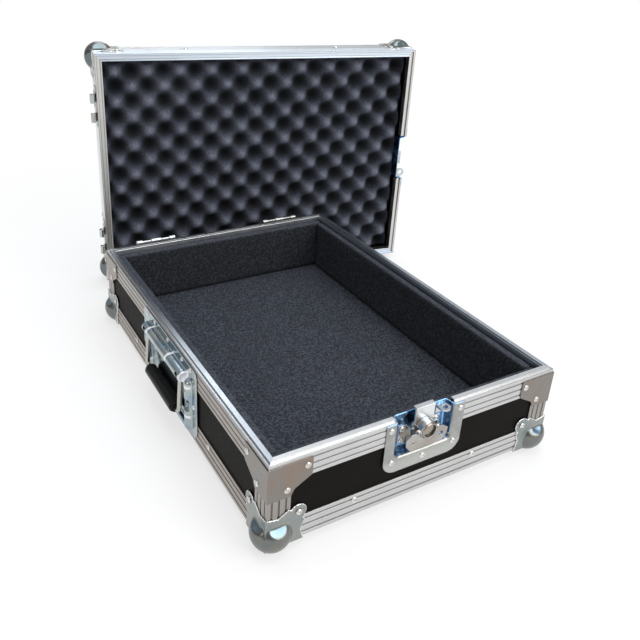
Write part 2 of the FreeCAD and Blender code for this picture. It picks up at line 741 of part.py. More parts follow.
def keeper_bar():
    """The bent plate in the lid's dish that the claw hooks over."""
    side = (across(-KEEPER_BAR_WIDTH / 2), across(KEEPER_BAR_WIDTH / 2))
    top = LID_HEIGHT - KEEPER_BAR_DROP
    bar = box(side, (KEEPER_BAR_FRONT, DISH_RECESS), (top - KEEPER_BAR_METAL, top))
    foot = box(side, (DISH_RECESS - KEEPER_FOOT_METAL, DISH_RECESS), (top - KEEPER_FOOT, top))
    return joined([bar, foot])


# Handle, drawn on the left side

def along(offset):
    """A place along the handle side, counted from its middle."""
    return CASE_LENGTH / 2 + offset


def bead(radius, half):
    """A rounded channel over the handle's pivot, from the plate outwards."""
    start = Vector(along(-half), -PIVOT_OUT, PIVOT_UP)
    crown = rod(radius, start, start + Vector(2 * half, 0, 0))
    width = (along(-half), along(half))
    height = (PIVOT_UP - radius, PIVOT_UP + radius)
    walls = box(width, (-PIVOT_OUT, -HANDLE_METAL), height)
    in_front = box(width, (-PIVOT_OUT - radius, -HANDLE_METAL), height)
    return joined([crown, walls]).common(in_front)


def raised(shape):
    """The part of a shape that stands out of the handle's plate."""
    wide = (0, CASE_LENGTH)
    return shape.common(box(wide, (-HANDLE_METAL - BEAD_RADIUS, -HANDLE_METAL), (0, BASE_HEIGHT)))


def side_bead(offset):
    """An upright pressed bead with a window, a keyhole and a cupped foot."""
    low = HANDLE_LOW + SIDE_BEAD_LOW
    high = HANDLE_TOP - SIDE_BEAD_DROP
    whole = raised(capsule(SIDE_BEAD_RADIUS, Vector(along(offset), -HANDLE_METAL, low),
                           Vector(along(offset), -HANDLE_METAL, high)))
    front = -HANDLE_METAL - SIDE_BEAD_RADIUS
    middle = low + (high - low) * WINDOW_SHARE
    window = box((along(offset) - WINDOW_WIDTH / 2, along(offset) + WINDOW_WIDTH / 2),
                 (front - OVERRUN, front + WINDOW_DEPTH),
                 (middle - WINDOW_HEIGHT / 2, middle + WINDOW_HEIGHT / 2))
    key = Vector(along(offset), front - OVERRUN, low + (high - low) * KEYHOLE_SHARE)
    keyhole = rod(KEYHOLE_RADIUS, key, key + Vector(0, OVERRUN + WINDOW_DEPTH, 0))
    return whole.cut(window).cut(keyhole)


def foot_bead():
    """The bead along the plate's lower edge, from one side bead to the other."""
    up = HANDLE_LOW + FOOT_BEAD_UP
    return raised(rod(FOOT_BEAD_RADIUS, Vector(along(-SIDE_BEAD_AT), -HANDLE_METAL, up),
                      Vector(along(SIDE_BEAD_AT), -HANDLE_METAL, up)))


def rod_slot(end):
    """The way out of the bead for one leg of the bail, down to level with the pivot."""
    middle = along(end * BAIL_HALF)
    return box((middle - SLOT_HALF, middle + SLOT_HALF),
               (-PIVOT_OUT - BEAD_RADIUS - OVERRUN, -PIVOT_OUT + SLOT_HALF),
               (PIVOT_UP - BEAD_RADIUS - OVERRUN, PIVOT_UP + SLOT_HALF))


def handle_plate():
    half = HANDLE_WIDTH / 2
    outline = [(along(-half), HANDLE_LOW, HANDLE_LOW_RADIUS), (along(half), HANDLE_LOW, HANDLE_LOW_RADIUS),
               (along(half), HANDLE_TOP, HANDLE_TOP_RADIUS), (along(-half), HANDLE_TOP, HANDLE_TOP_RADIUS)]
    plate = joined([slab(outline, (-HANDLE_METAL, 0)), bead(BEAD_RADIUS, BEAD_HALF),
                    side_bead(-SIDE_BEAD_AT), side_bead(SIDE_BEAD_AT), foot_bead()])
    plate = plate.cut(bead(BEAD_INNER, BEAD_HALF - BEAD_WALL))
    return plate.cut(rod_slot(-1)).cut(rod_slot(1))


def handle_bail():
    """The bent rod, with its ends turned in along the pivot."""
    inner = BUSH_AT - BAIL_STUB
    low = Vector(0, -BAIL_OUT, -BAIL_DROP)
    points = []
    for end in (-1, 1):
        pivot = Vector(along(end * inner), -PIVOT_OUT, PIVOT_UP)
        corner = Vector(along(end * BAIL_HALF), -PIVOT_OUT, PIVOT_UP)
        arm = [pivot, corner, corner + low]
        points += arm if end < 0 else arm[::-1]
    radii = [0, BAIL_BEND, BAIL_GRIP_BEND, BAIL_GRIP_BEND, BAIL_BEND, 0]
    path = rounded_wire(points, radii, False)
    section = Part.Wire(Part.makeCircle(ROD_RADIUS, points[0], Vector(1, 0, 0)))
    return path.makePipeShell([section], True, True)


def sleeve(radius, bore, start, end):
    """A tube along the handle side on the pivot's axis, or lowered to the grip's."""
    return rod(radius, start, end).cut(rod(bore, start, end))


def handle_grip():
    middle = Vector(along(0), -PIVOT_OUT - BAIL_OUT, PIVOT_UP - BAIL_DROP)
    half = Vector(GRIP_HALF, 0, 0)
    tip = Vector(GRIP_HALF + GRIP_END, 0, 0)
    return joined([
        taper(GRIP_END_RADIUS, GRIP_RADIUS, middle - tip, middle - half),
        rod(GRIP_RADIUS, middle - half, middle + half),
        taper(GRIP_RADIUS, GRIP_END_RADIUS, middle + half, middle + tip),
    ]).cut(rod(ROD_RADIUS, middle - tip, middle + tip))


def handle_bushes():
    bushes = []
    for end in (-1, 1):
        outer = Vector(along(end * BUSH_AT), -PIVOT_OUT, PIVOT_UP)
        inner = Vector(along(end * (BUSH_AT - BUSH_LENGTH)), -PIVOT_OUT, PIVOT_UP)
        room = box(sorted((outer.x, inner.x)), (-PIVOT_OUT - BEAD_RADIUS, -HANDLE_METAL),
                   (PIVOT_UP - BEAD_RADIUS, PIVOT_UP + BEAD_RADIUS))
        block = bead(BEAD_INNER - BUSH_PLAY, BEAD_HALF).common(room)
        bushes.append(block.cut(rod(ROD_RADIUS + BUSH_PLAY, outer, inner)))
    return group(bushes)


def handle_springs():
    """The torsion springs round the rod's ends, as plain sleeves."""
    springs = []
    for end in (-1, 1):
        far = BUSH_AT - BUSH_LENGTH - SPRING_PLAY
        start = Vector(along(end * far), -PIVOT_OUT, PIVOT_UP)
        stop = Vector(along(end * (far - SPRING_LENGTH)), -PIVOT_OUT, PIVOT_UP)
        bore = ROD_RADIUS + SPRING_PLAY
        springs.append(sleeve(bore + SPRING_WALL, bore, start, stop))
    return group(springs)


def handle_screws():
    heads = []
    for x_share, z_share in SCREW_SHARES:
        up = HANDLE_LOW + HANDLE_HEIGHT * z_share
        foot = Vector(along(HANDLE_WIDTH * x_share), -HANDLE_METAL, up)
        heads.append(head(foot, SCREW_RADIUS, SCREW_TOP_RADIUS, SCREW_HEIGHT))
    return group(heads)


# Lift-off hinges, drawn on the back

def hinge_leaf(middle, height, spans, radius, bore):
    """A leaf with knuckles over the given spans along the hinge."""
    low = height - HINGE_LOW_DROP
    bent = height - HINGE_BEND_DROP
    outline = [(middle - HINGE_HALF, low, HINGE_METAL), (middle + HINGE_HALF, low, HINGE_METAL),
               (middle + HINGE_HALF, bent, 0), (middle - HINGE_HALF, bent, 0)]
    pieces = [slab(outline, (-HINGE_METAL, 0))]
    web = [(0, bent), (-HINGE_METAL, bent - HINGE_METAL), (-HINGE_OUT - HINGE_METAL, height - HINGE_METAL),
           (-HINGE_OUT, height)]
    for start, stop in spans:
        points = [Vector(middle + start, y, z) for y, z in web]
        pieces.append(prism(points, Vector(stop - start, 0, 0)))
        knuckle = Vector(middle + start, -HINGE_OUT, height)
        pieces.append(rod(radius, knuckle, knuckle + Vector(stop - start, 0, 0)))
    axis = Vector(middle - HINGE_HALF, -HINGE_OUT, height)
    return joined(pieces).cut(rod(bore, axis, axis + Vector(2 * HINGE_HALF, 0, 0)))


def base_hinge(middle):
    inner = HINGE_MIDDLE / 2
    outer = inner + HINGE_GAP
    spans = ((-HINGE_HALF, -outer), (-inner, inner), (outer, HINGE_HALF))
    return hinge_leaf(middle, BASE_HEIGHT, spans, KNUCKLE_RADIUS, HINGE_PIN_RADIUS + HINGE_PIN_PLAY)


def lid_hooks(middle):
    """Two hooks that drop over the pin, open on the outside."""
    inner = HINGE_MIDDLE / 2 + HOOK_SIDE_PLAY
    outer = HINGE_MIDDLE / 2 + HINGE_GAP - HOOK_SIDE_PLAY
    bore = HINGE_PIN_RADIUS + HOOK_PLAY
    leaf = hinge_leaf(middle, LID_HEIGHT, ((-outer, -inner), (inner, outer)), HOOK_RADIUS, bore)
    mouth = box((middle - HINGE_HALF, middle + HINGE_HALF),
                (-HINGE_OUT - HOOK_RADIUS - OVERRUN, -HINGE_OUT), (LID_HEIGHT - bore, LID_HEIGHT + bore))
    return leaf.cut(mouth)


def hinge_pin(middle):
    start = Vector(middle - HINGE_HALF, -HINGE_OUT, BASE_HEIGHT)
    return rod(HINGE_PIN_RADIUS, start, start + Vector(2 * HINGE_HALF, 0, 0))


def hinge_rivets(middle, height):
    return group([rivet(middle + offset, height - HINGE_RIVET_DROP, -HINGE_METAL)
                  for offset in (-HINGE_RIVET_AT, 0, HINGE_RIVET_AT)])


# Linings and foam

def floor_lining():
    margin = WALL + FIT
    return box((margin, CASE_WIDTH - margin), (margin, CASE_LENGTH - margin), (WALL, WALL + FLOOR_LINING))


def wall_linings():
    """Foam on the base's walls, thinner behind the closing frame."""
    low = WALL + FLOOR_LINING
    top = BASE_HEIGHT - LINING_DROP
    step = BASE_HEIGHT - RIM_INNER_LEG - FIT
    back = WALL + FIT
    front = back + WALL_LINING
    outline = [(back, low), (front, low), (front, top), (RIM_WIDTH + FIT, top),
               (RIM_WIDTH + FIT, step), (back, step)]
    linings = {}
    for side in SIDES:
        margin = RIM_WIDTH + FIT if side in ("front", "back") else front
        points = [Vector(margin, inset, up) for inset, up in outline]
        piece = prism(points, Vector(side_length(side) - 2 * margin, 0, 0))
        if side == "front":
            piece = piece.cut(dish_room())
        linings[side] = on_side(piece, side)
    return linings


def dish_room():
    """The pocket behind the latch dish and the spindle's end."""
    side = (across(-NOTCH_HALF), across(NOTCH_HALF))
    return box(side, (0, SPINDLE_END + FIT), (BASE_HEIGHT - LATCH_NOTCH_DROP, BASE_HEIGHT + OVERRUN))


def foam_height(x, y):
    """Height of the egg-crate surface: bumps and pits in turn both ways."""
    crest = LID_HEIGHT - FOAM_DROP
    pit = WALL + FOAM_BASE
    wave = math.cos(2 * math.pi * (x - FOAM_START_ACROSS) / FOAM_PITCH_ACROSS)
    wave *= math.cos(2 * math.pi * y / FOAM_PITCH_ALONG)
    return (crest + pit) / 2 + (crest - pit) / 2 * wave


def grid_lines(low, high, start, step):
    """The two edges with every grid line that falls between them."""
    first = math.ceil((low - start) / step)
    last = math.floor((high - start) / step)
    inside = [start + step * index for index in range(first, last + 1)]
    return [low] + [place for place in inside if low < place < high] + [high]


def egg_crate_foam():
    """A block with a faceted egg-crate face, closed all round."""
    margin = RIM_WIDTH + FOAM_EDGE_GAP
    xs = grid_lines(margin, CASE_WIDTH - margin, FOAM_START_ACROSS, FOAM_PITCH_ACROSS / 2)
    ys = grid_lines(margin, CASE_LENGTH - margin, 0, FOAM_PITCH_ALONG / 2)
    top = {(x, y): Vector(x, y, foam_height(x, y)) for x in xs for y in ys}
    outlines = []
    for x, next_x in zip(xs, xs[1:]):
        for y, next_y in zip(ys, ys[1:]):
            ring = [top[x, y], top[next_x, y], top[next_x, next_y], top[x, next_y]]
            middle = (ring[0] + ring[1] + ring[2] + ring[3]) / 4
            outlines += [[ring[index - 1], ring[index], middle] for index in range(4)]
    borders = ([top[x, ys[0]] for x in xs], [top[xs[-1], y] for y in ys],
               [top[x, ys[-1]] for x in reversed(xs)], [top[xs[0], y] for y in reversed(ys)])
    for border in borders:
        feet = [Vector(point.x, point.y, WALL) for point in (border[-1], border[0])]
        outlines.append(border + feet)
    outlines.append([Vector(x, y, WALL) for x, y in
                     ((xs[0], ys[0]), (xs[-1], ys[0]), (xs[-1], ys[-1]), (xs[0], ys[-1]))])
    faces = [Part.Face(Part.makePolygon(outline + [outline[0]])) for outline in outlines]
    shell = Part.makeShell(faces)
    shell.sewShape()
    foam = Part.makeSolid(shell)
    if foam.Volume < 0:
        foam.reverse()
    side = (across(-NOTCH_HALF - FIT), across(NOTCH_HALF + FIT))
    room = box(side, (0, DISH_BACK + FIT), (LID_HEIGHT - KEEPER_NOTCH_DROP - FIT, LID_HEIGHT))
    return foam.cut(room)


# The case, put together

def base_pieces():
    """Every piece of the base by name, in the tray's frame."""
    panels = side_panels(BASE_HEIGHT - RIM_WEB)
    rims = round_tray(base_rim)
    linings = wall_linings()
    dish_space = notch(BASE_HEIGHT, LATCH_NOTCH_DROP)
    panels["front"] = panels["front"].cut(dish_space)
    rims["front"] = rims["front"].cut(dish_space)
    hinges = {"left": across(HINGE_SPREAD), "right": across(-HINGE_SPREAD)}
    pieces = {"base_floor_panel": floor_panel()}
    for side in SIDES:
        pieces["base_%s_panel" % side] = panels[side]
        pieces["base_%s_rim" % side] = rims[side]
        pieces["base_%s_lining" % side] = linings[side]
    pieces["base_floor_lining"] = floor_lining()
    pieces["base_edge_angles"] = group(round_tray(edge_angle).values())
    pieces["base_corner_posts"] = at_corners(corner_post())
    pieces["base_ball_corners"] = at_corners(ball_corner())
    pieces["base_corner_braces"] = at_corners(corner_brace())
    pieces["base_rivets"] = group([
        at_corners(group([ball_rivets(), brace_rivets()])), rail_rivets(),
        *(on_side(hinge_rivets(middle, BASE_HEIGHT), "back") for middle in hinges.values())])
    pieces["latch_dish"] = latch_dish()
    pieces["latch_guides"] = latch_guides()
    pieces["latch_rivets"] = group([dish_rivets(BASE_HEIGHT, LATCH_DEPTH, DISH_RIVET_SHARES), guide_rivets()])
    pieces["base_padlock_eye"] = padlock_eye(across(EYE_AT), BASE_HEIGHT - EYE_DROP)
    pieces["latch_spindle"] = latch_spindle()
    pieces["latch_claw"] = latch_claw()
    pieces["latch_wing"] = latch_wing()
    pieces["latch_wing_pin"] = wing_pin()
    for name, middle in hinges.items():
        pieces["%s_hinge_leaf" % name] = on_side(base_hinge(middle), "back")
        pieces["%s_hinge_pin" % name] = on_side(hinge_pin(middle), "back")
    handle = {"handle_plate": handle_plate(), "handle_bail": handle_bail(), "handle_grip": handle_grip(),
              "handle_bushes": handle_bushes(), "handle_springs": handle_springs(),
              "handle_screws": handle_screws()}
    for name, shape in handle.items():
        pieces[name] = on_side(shape, "left")
    return pieces


def lid_pieces():
    """Every piece of the lid by name, in the tray's frame."""
    panels = side_panels(LID_HEIGHT - GROOVE - RIM_WEB)
    rims = round_tray(lid_rim)
    dish_space = notch(LID_HEIGHT, KEEPER_NOTCH_DROP)
    panels["front"] = panels["front"].cut(dish_space)
    rims["front"] = rims["front"].cut(dish_space)
    hinges = {"left": across(-HINGE_SPREAD), "right": across(HINGE_SPREAD)}
    pieces = {"lid_top_panel": floor_panel()}
    for side in SIDES:
        pieces["lid_%s_panel" % side] = panels[side]
        pieces["lid_%s_rim" % side] = rims[side]
    pieces["lid_foam"] = egg_crate_foam()
    pieces["lid_edge_angles"] = group(round_tray(edge_angle).values())
    pieces["lid_ball_corners"] = at_corners(ball_corner())
    pieces["keeper_dish"] = dish(LID_HEIGHT, KEEPER_DEPTH, KEEPER_OPENING_DEPTH, KEEPER_RADIUS)
    pieces["keeper_bar"] = keeper_bar()
    pieces["lid_padlock_eye"] = padlock_eye(across(-EYE_AT), LID_HEIGHT - EYE_PLAY)
    pieces["lid_rivets"] = group([
        at_corners(ball_rivets()), rail_rivets(), dish_rivets(LID_HEIGHT, KEEPER_DEPTH, KEEPER_RIVET_SHARES),
        *(on_side(hinge_rivets(middle, LID_HEIGHT), "back") for middle in hinges.values())])
    for name, middle in hinges.items():
        pieces["%s_lid_hooks" % name] = on_side(lid_hooks(middle), "back")
    return pieces


def base_place():
    corner = Vector(FOOTPRINT_X - CASE_WIDTH / 2, FOOTPRINT_Y - CASE_LENGTH / 2, FLOOR_PROUD)
    return Placement(corner, Rotation())


def lid_place():
    """Stand the lid on the long edge at X = 0 of its tray, hinges to the left."""
    turn = math.radians(LID_TURN)
    rightwards = Vector(math.cos(turn), -math.sin(turn), 0)
    backwards = Vector(math.sin(turn), math.cos(turn), 0)
    left_end = Vector(FOOTPRINT_X - CASE_WIDTH / 2 + LID_SHIFT,
                      FOOTPRINT_Y + CASE_LENGTH / 2 + LID_GAP, BALL_PROUD)
    start = left_end + rightwards * CASE_LENGTH + backwards * LID_HEIGHT
    return Placement(Matrix(0, -rightwards.x, -backwards.x, start.x,
                            0, -rightwards.y, -backwards.y, start.y,
                            1, 0, 0, start.z,
                            0, 0, 0, 1))


def write(pieces, place):
    for name, shape in pieces.items():
        placed = shape.copy()
        placed.Placement = place.multiply(placed.Placement)
        placed.exportStep("parts/%s.step" % name)
        print("%-24s %2d solids %12.1f mm3 valid %s" % (
            name, len(placed.Solids), placed.Volume, placed.isValid()))


os.makedirs("parts", exist_ok=True)
write(base_pieces(), base_place())
write(lid_pieces(), lid_place())
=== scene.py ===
import itertools
import json
import math
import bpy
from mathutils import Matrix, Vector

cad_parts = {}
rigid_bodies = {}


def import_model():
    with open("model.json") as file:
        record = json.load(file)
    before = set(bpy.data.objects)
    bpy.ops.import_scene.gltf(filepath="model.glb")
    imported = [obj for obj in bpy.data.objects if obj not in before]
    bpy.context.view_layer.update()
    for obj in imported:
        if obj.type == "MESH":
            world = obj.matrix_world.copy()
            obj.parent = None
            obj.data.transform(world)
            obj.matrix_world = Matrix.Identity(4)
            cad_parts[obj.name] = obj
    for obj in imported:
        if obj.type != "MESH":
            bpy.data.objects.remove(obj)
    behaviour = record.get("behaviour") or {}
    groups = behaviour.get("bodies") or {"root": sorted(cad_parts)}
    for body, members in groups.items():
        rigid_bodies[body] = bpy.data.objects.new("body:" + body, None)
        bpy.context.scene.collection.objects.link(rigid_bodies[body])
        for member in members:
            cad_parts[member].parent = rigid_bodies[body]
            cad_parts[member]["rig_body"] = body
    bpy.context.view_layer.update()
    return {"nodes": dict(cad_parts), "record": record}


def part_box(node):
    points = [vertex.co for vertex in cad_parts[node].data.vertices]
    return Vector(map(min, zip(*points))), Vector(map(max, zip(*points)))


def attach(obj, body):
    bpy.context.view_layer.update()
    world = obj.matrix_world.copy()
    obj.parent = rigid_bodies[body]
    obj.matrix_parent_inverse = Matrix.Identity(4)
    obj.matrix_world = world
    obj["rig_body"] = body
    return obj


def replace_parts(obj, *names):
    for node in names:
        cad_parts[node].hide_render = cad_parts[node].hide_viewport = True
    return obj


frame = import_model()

from types import SimpleNamespace

import bmesh
import bpy
import numpy as np
from bpy.props import FloatProperty, FloatVectorProperty, PointerProperty
from mathutils import Matrix, Vector, noise

bl_info = {
    "name": "Flight Case",
    "version": (1, 0, 0),
    "blender": (4, 5, 0),
    "location": "View3D > Sidebar > Flight Case",
    "description": "Dresses an aluminium flight case: metal, laminate, foam, rivets and a pale studio",
    "category": "Object",
}

MM = 0.001
PICTURE = 640.0
WHITE = (1.0, 1.0, 1.0, 1.0)
SIDES = ("front", "right", "back", "left")

# How far dies and deburring break the edges of extrusions, braces and small hardware
EXTRUSION_EDGE = 0.25 * MM
BRACE_EDGE = 0.35 * MM
HARDWARE_EDGE = 0.4 * MM
SHARP_EDGE = math.radians(28)

# The handle's plate: its mesh, and where its painted highlights and painted shade lie, as shares of its width
# from the middle and of its height
HANDLE_MESH = {"cell": 0.8 * MM, "ease": 6}
HANDLE_BANDS = {"places": (-0.36, -0.113, 0.257), "half": 1.6 * MM}
HANDLE_BEAD = {"middle": 0.81, "half": 0.1, "soft": 0.02}
HANDLE_RINGS = {"heights": (0.29, 0.72), "half": 1.4 * MM, "from": 0.33, "to": 0.42}
HANDLE_SLOT = {"height": 0.524, "half": 8.6 * MM, "from": 0.35, "to": 0.417, "out": (-4.6 * MM, -4.0 * MM)}

# The hollow in the latch's nose
NOSE = {"wall": 2.2 * MM, "slope": 0.6 * MM, "depth": 1.0 * MM}

# Fine lines on the lid's closing frame, from its outer face in: painted shade, as in a groove
LID_SEAMS = (3.6 * MM, 8.9 * MM)

# Rivet and screw heads, as (share of radius, share of height) points, and the part inside that is the pin
HEAD_SHARES = ((1.0, 0.0), (1.0, 0.22), (0.97, 0.36), (0.88, 0.58), (0.74, 0.78), (0.62, 0.90), (0.54, 0.97),
               (0.48, 0.97), (0.43, 0.9), (0.40, 0.7), (0.38, 0.45), (0.2, 0.38), (0.0, 0.4))
HEAD_STEPS = 28
PIN_SHARE = 0.42

# Every finish by name, filled by make_finishes
FINISHES = {}


# Frames of the two trays

class Tray:
    """One tray's own frame: across its width, along from the latch side, up from the closed panel."""

    def __init__(self, node, axes):
        self.axes = [Vector(axis).normalized() for axis in axes]
        points = [vertex.co for vertex in frame["nodes"][node].data.vertices]
        corner = Vector()
        for axis in self.axes:
            corner += axis * min(point.dot(axis) for point in points)
        turn = Matrix(self.axes).transposed()
        self.turn = turn.to_euler()
        self.matrix = Matrix.Translation(corner) @ turn.to_4x4()
        low, high = self.extent(node)
        self.size = high - low

    def extent(self, node):
        """Lowest and highest corner of a node in this frame."""
        back = self.matrix.inverted()
        points = [back @ vertex.co for vertex in frame["nodes"][node].data.vertices]
        low = Vector(min(point[i] for point in points) for i in range(3))
        high = Vector(max(point[i] for point in points) for i in range(3))
        return low, high

    def side(self, name):
        """A side's frame: along the side seen from outside, then inwards, then up."""
        starts = (Vector((0, 0, 0)), Vector((self.size.x, 0, 0)),
                  Vector((self.size.x, self.size.y, 0)), Vector((0, self.size.y, 0)))
        turns = SIDES.index(name)
        return self.matrix @ Matrix.Translation(starts[turns]) @ Matrix.Rotation(math.pi / 2 * turns, 4, "Z")


def lid_axes():
    """The standing lid's axes, from the way that the hole in its padlock eye runs."""
    mounts = {mount["name"]: mount for mount in frame["record"]["mounts"]}
    opening = Vector(mounts["lid_padlock_hole"]["axis"])
    up = Vector((0, 0, 1))
    return up, opening.cross(up), opening


BASE = Tray("base_edge_angles", (Vector((1, 0, 0)), Vector((0, 1, 0)), Vector((0, 0, 1))))
LID = Tray("lid_edge_angles", lid_axes())
TRAYS = {"base": BASE, "lid": LID}


# Shader maths

class Signal:
    """The value on one socket; sums on it add Math nodes."""

    def __init__(self, finish, socket):
        self.finish = finish
        self.socket = socket

    def math(self, operation, first, second):
        """A Math node on two values or signals."""
        return self.finish.node("ShaderNodeMath", {"operation": operation}, {0: first, 1: second})

    def __add__(self, other):
        return self.math("ADD", self, other)

    def __sub__(self, other):
        return self.math("SUBTRACT", self, other)

    def __rsub__(self, other):
        return self.math("SUBTRACT", other, self)

    def __mul__(self, other):
        return self.math("MULTIPLY", self, other)

    def __pow__(self, other):
        return self.math("POWER", self, other)

    __radd__ = __add__
    __rmul__ = __mul__


class Finish:
    """A material in the making. One method makes every node."""

    def __init__(self, name, metallic=0.0):
        self.owner = bpy.data.materials.new(name)
        self.owner.use_nodes = True
        self.tree = self.owner.node_tree
        self.shader = self.tree.nodes["Principled BSDF"]
        self.shader.inputs["Metallic"].default_value = metallic

    def node(self, kind, settings, sockets, output=0):
        """A node of a type, its settings first, then its sockets' values or links."""
        made = self.tree.nodes.new(kind)
        for key, value in settings.items():
            if key == "stops":
                set_stops(made.color_ramp, value)
            else:
                setattr(made, key, value)
        for key, value in sockets.items():
            self.feed(made.inputs[key], value)
        return Signal(self, made.outputs[output])

    def feed(self, socket, value):
        """Link a signal to a socket, or set a plain value on it."""
        if isinstance(value, Signal):
            self.tree.links.new(value.socket, socket)
        else:
            socket.default_value = value

    def place(self, tray):
        """Coordinates in metres, in a tray's own frame."""
        where = self.node("ShaderNodeTexCoord", {}, {}, "Object")
        return self.node("ShaderNodeMapping", {"vector_type": "TEXTURE"}, {
            "Vector": where, "Location": tray.matrix.translation, "Rotation": tray.turn})

    def part(self, where, axis):
        """One coordinate, X, Y or Z."""
        return self.node("ShaderNodeSeparateXYZ", {}, {0: where}, axis)

    def stretched(self, where, scales):
        """Coordinates multiplied by one factor each way."""
        return self.node("ShaderNodeVectorMath", {"operation": "MULTIPLY"}, {0: where, 1: scales})

    def noise(self, where, scale, detail=2.0, roughness=0.5):
        """Cloudy noise between 0 and 1."""
        return self.node("ShaderNodeTexNoise", {}, {
            "Vector": where, "Scale": scale, "Detail": detail, "Roughness": roughness})

    def cells(self, where, scale):
        """Distance to the nearest cell's middle."""
        return self.node("ShaderNodeTexVoronoi", {}, {"Vector": where, "Scale": scale})

    def band(self, value, low, high):
        """0 below low and 1 above high, smooth between them."""
        return self.node("ShaderNodeMapRange", {"interpolation_type": "SMOOTHSTEP"}, {
            "Value": value, "From Min": low, "From Max": high})

    def window(self, value, middle, half, soft):
        """1 within half of a middle value, 0 further off than half and soft together."""
        risen = self.band(value, middle - half - soft, middle - half)
        return risen * (1.0 - self.band(value, middle + half, middle + half + soft))

    def blend(self, share, first, second):
        """Two colours mixed."""
        return self.node("ShaderNodeMix", {"data_type": "RGBA"}, {0: share, 6: first, 7: second}, 2)

    def sunk(self, where, tray):
        """Depth below the nearest of a tray's outer faces."""
        depth = self.part(where, "Z")
        for axis, size in (("X", tray.size.x), ("Y", tray.size.y)):
            place = self.part(where, axis)
            depth = depth.math("MINIMUM", depth, place.math("MINIMUM", place, size - place))
        return depth

    def bump(self, height, strength, distance):
        """A normal that follows a height."""
        return self.node("ShaderNodeBump", {}, {"Height": height, "Strength": strength, "Distance": distance})

    def paint(self, **sockets):
        """Set or link the shader's sockets, named as in the shader with _ for a space."""
        for name, value in sockets.items():
            self.feed(self.shader.inputs[name.replace("_", " ")], value)
        return self.owner


def set_stops(ramp, stops):
    """Colour stops, the first two in the places that a new ramp has."""
    while len(ramp.elements) < len(stops):
        ramp.elements.new(1.0)
    for element, (position, colour) in zip(ramp.elements, stops):
        element.position = position
        element.color = colour


def tone(colour, factor=1.0):
    """An opaque colour, lighter or darker by a factor."""
    return (colour[0] * factor, colour[1] * factor, colour[2] * factor, 1.0)


# Finishes. Scales are features per metre, and factors lighten or darken a finish's own colour.

def drawn_aluminium(name, tray, run, colour, roughness, seams=()):
    """Satin extrusion: fine lines along its run, smudges, and painted shade in each groove and seam."""
    finish = Finish(name, 1.0)
    where = finish.place(tray)
    scales = [1100.0, 1100.0, 1100.0]
    scales["XYZ".index(run)] = 4.0
    lines = finish.noise(finish.stretched(where, scales), 1.0, 3.0, 0.6)
    smudge = finish.noise(where, 22.0, 4.0, 0.6)
    worn = finish.band(finish.noise(where, 70.0, 5.0, 0.7), 0.52, 0.7)
    base = finish.blend(lines, tone(colour, 0.84), tone(colour, 1.1))
    base = finish.blend(finish.band(smudge, 0.35, 0.75) * 0.35, base, tone(colour, 0.8))
    depth = finish.sunk(where, tray)
    # Painted shade: faces sunk about half a millimetre below the outer faces, and the seam lines, are
    # darkened.
    groove_shade = finish.window(depth, 0.55 * MM, 0.25 * MM, 0.12 * MM)
    for seam in seams:
        groove_shade = finish.window(depth, seam, 0.3 * MM, 0.3 * MM) + groove_shade
    base = finish.blend(groove_shade * 0.8, base, tone(colour, 0.28))
    rough = lines * 0.14 + smudge * 0.16 + worn * 0.08 + (roughness - 0.17)
    return finish.paint(Base_Color=base, Roughness=rough, Normal=finish.bump(lines, 0.12, 0.0002))


def zinc_plate(name, tray, colour, blush, roughness, spangle=0.06, waves=0.35):
    """Passivated zinc: cloudy tints, soft crystals and shallow pressing waves."""
    finish = Finish(name, 1.0)
    where = finish.place(tray)
    cloud = finish.noise(where, 26.0, 3.0, 0.55)
    crystals = finish.cells(where, 420.0)
    swell = finish.noise(where, 55.0, 2.0, 0.5)
    grit = finish.noise(where, 900.0, 3.0, 0.6)
    base = finish.blend(finish.band(cloud, 0.4, 0.66), tone(colour), tone(blush))
    base = finish.blend(crystals * spangle, base, tone(colour, 1.3))
    rough = cloud * 0.16 + grit * 0.12 + (roughness - 0.12)
    height = swell + grit * 0.04
    return finish.paint(Base_Color=base, Roughness=rough, Normal=finish.bump(height, waves, 0.0012))


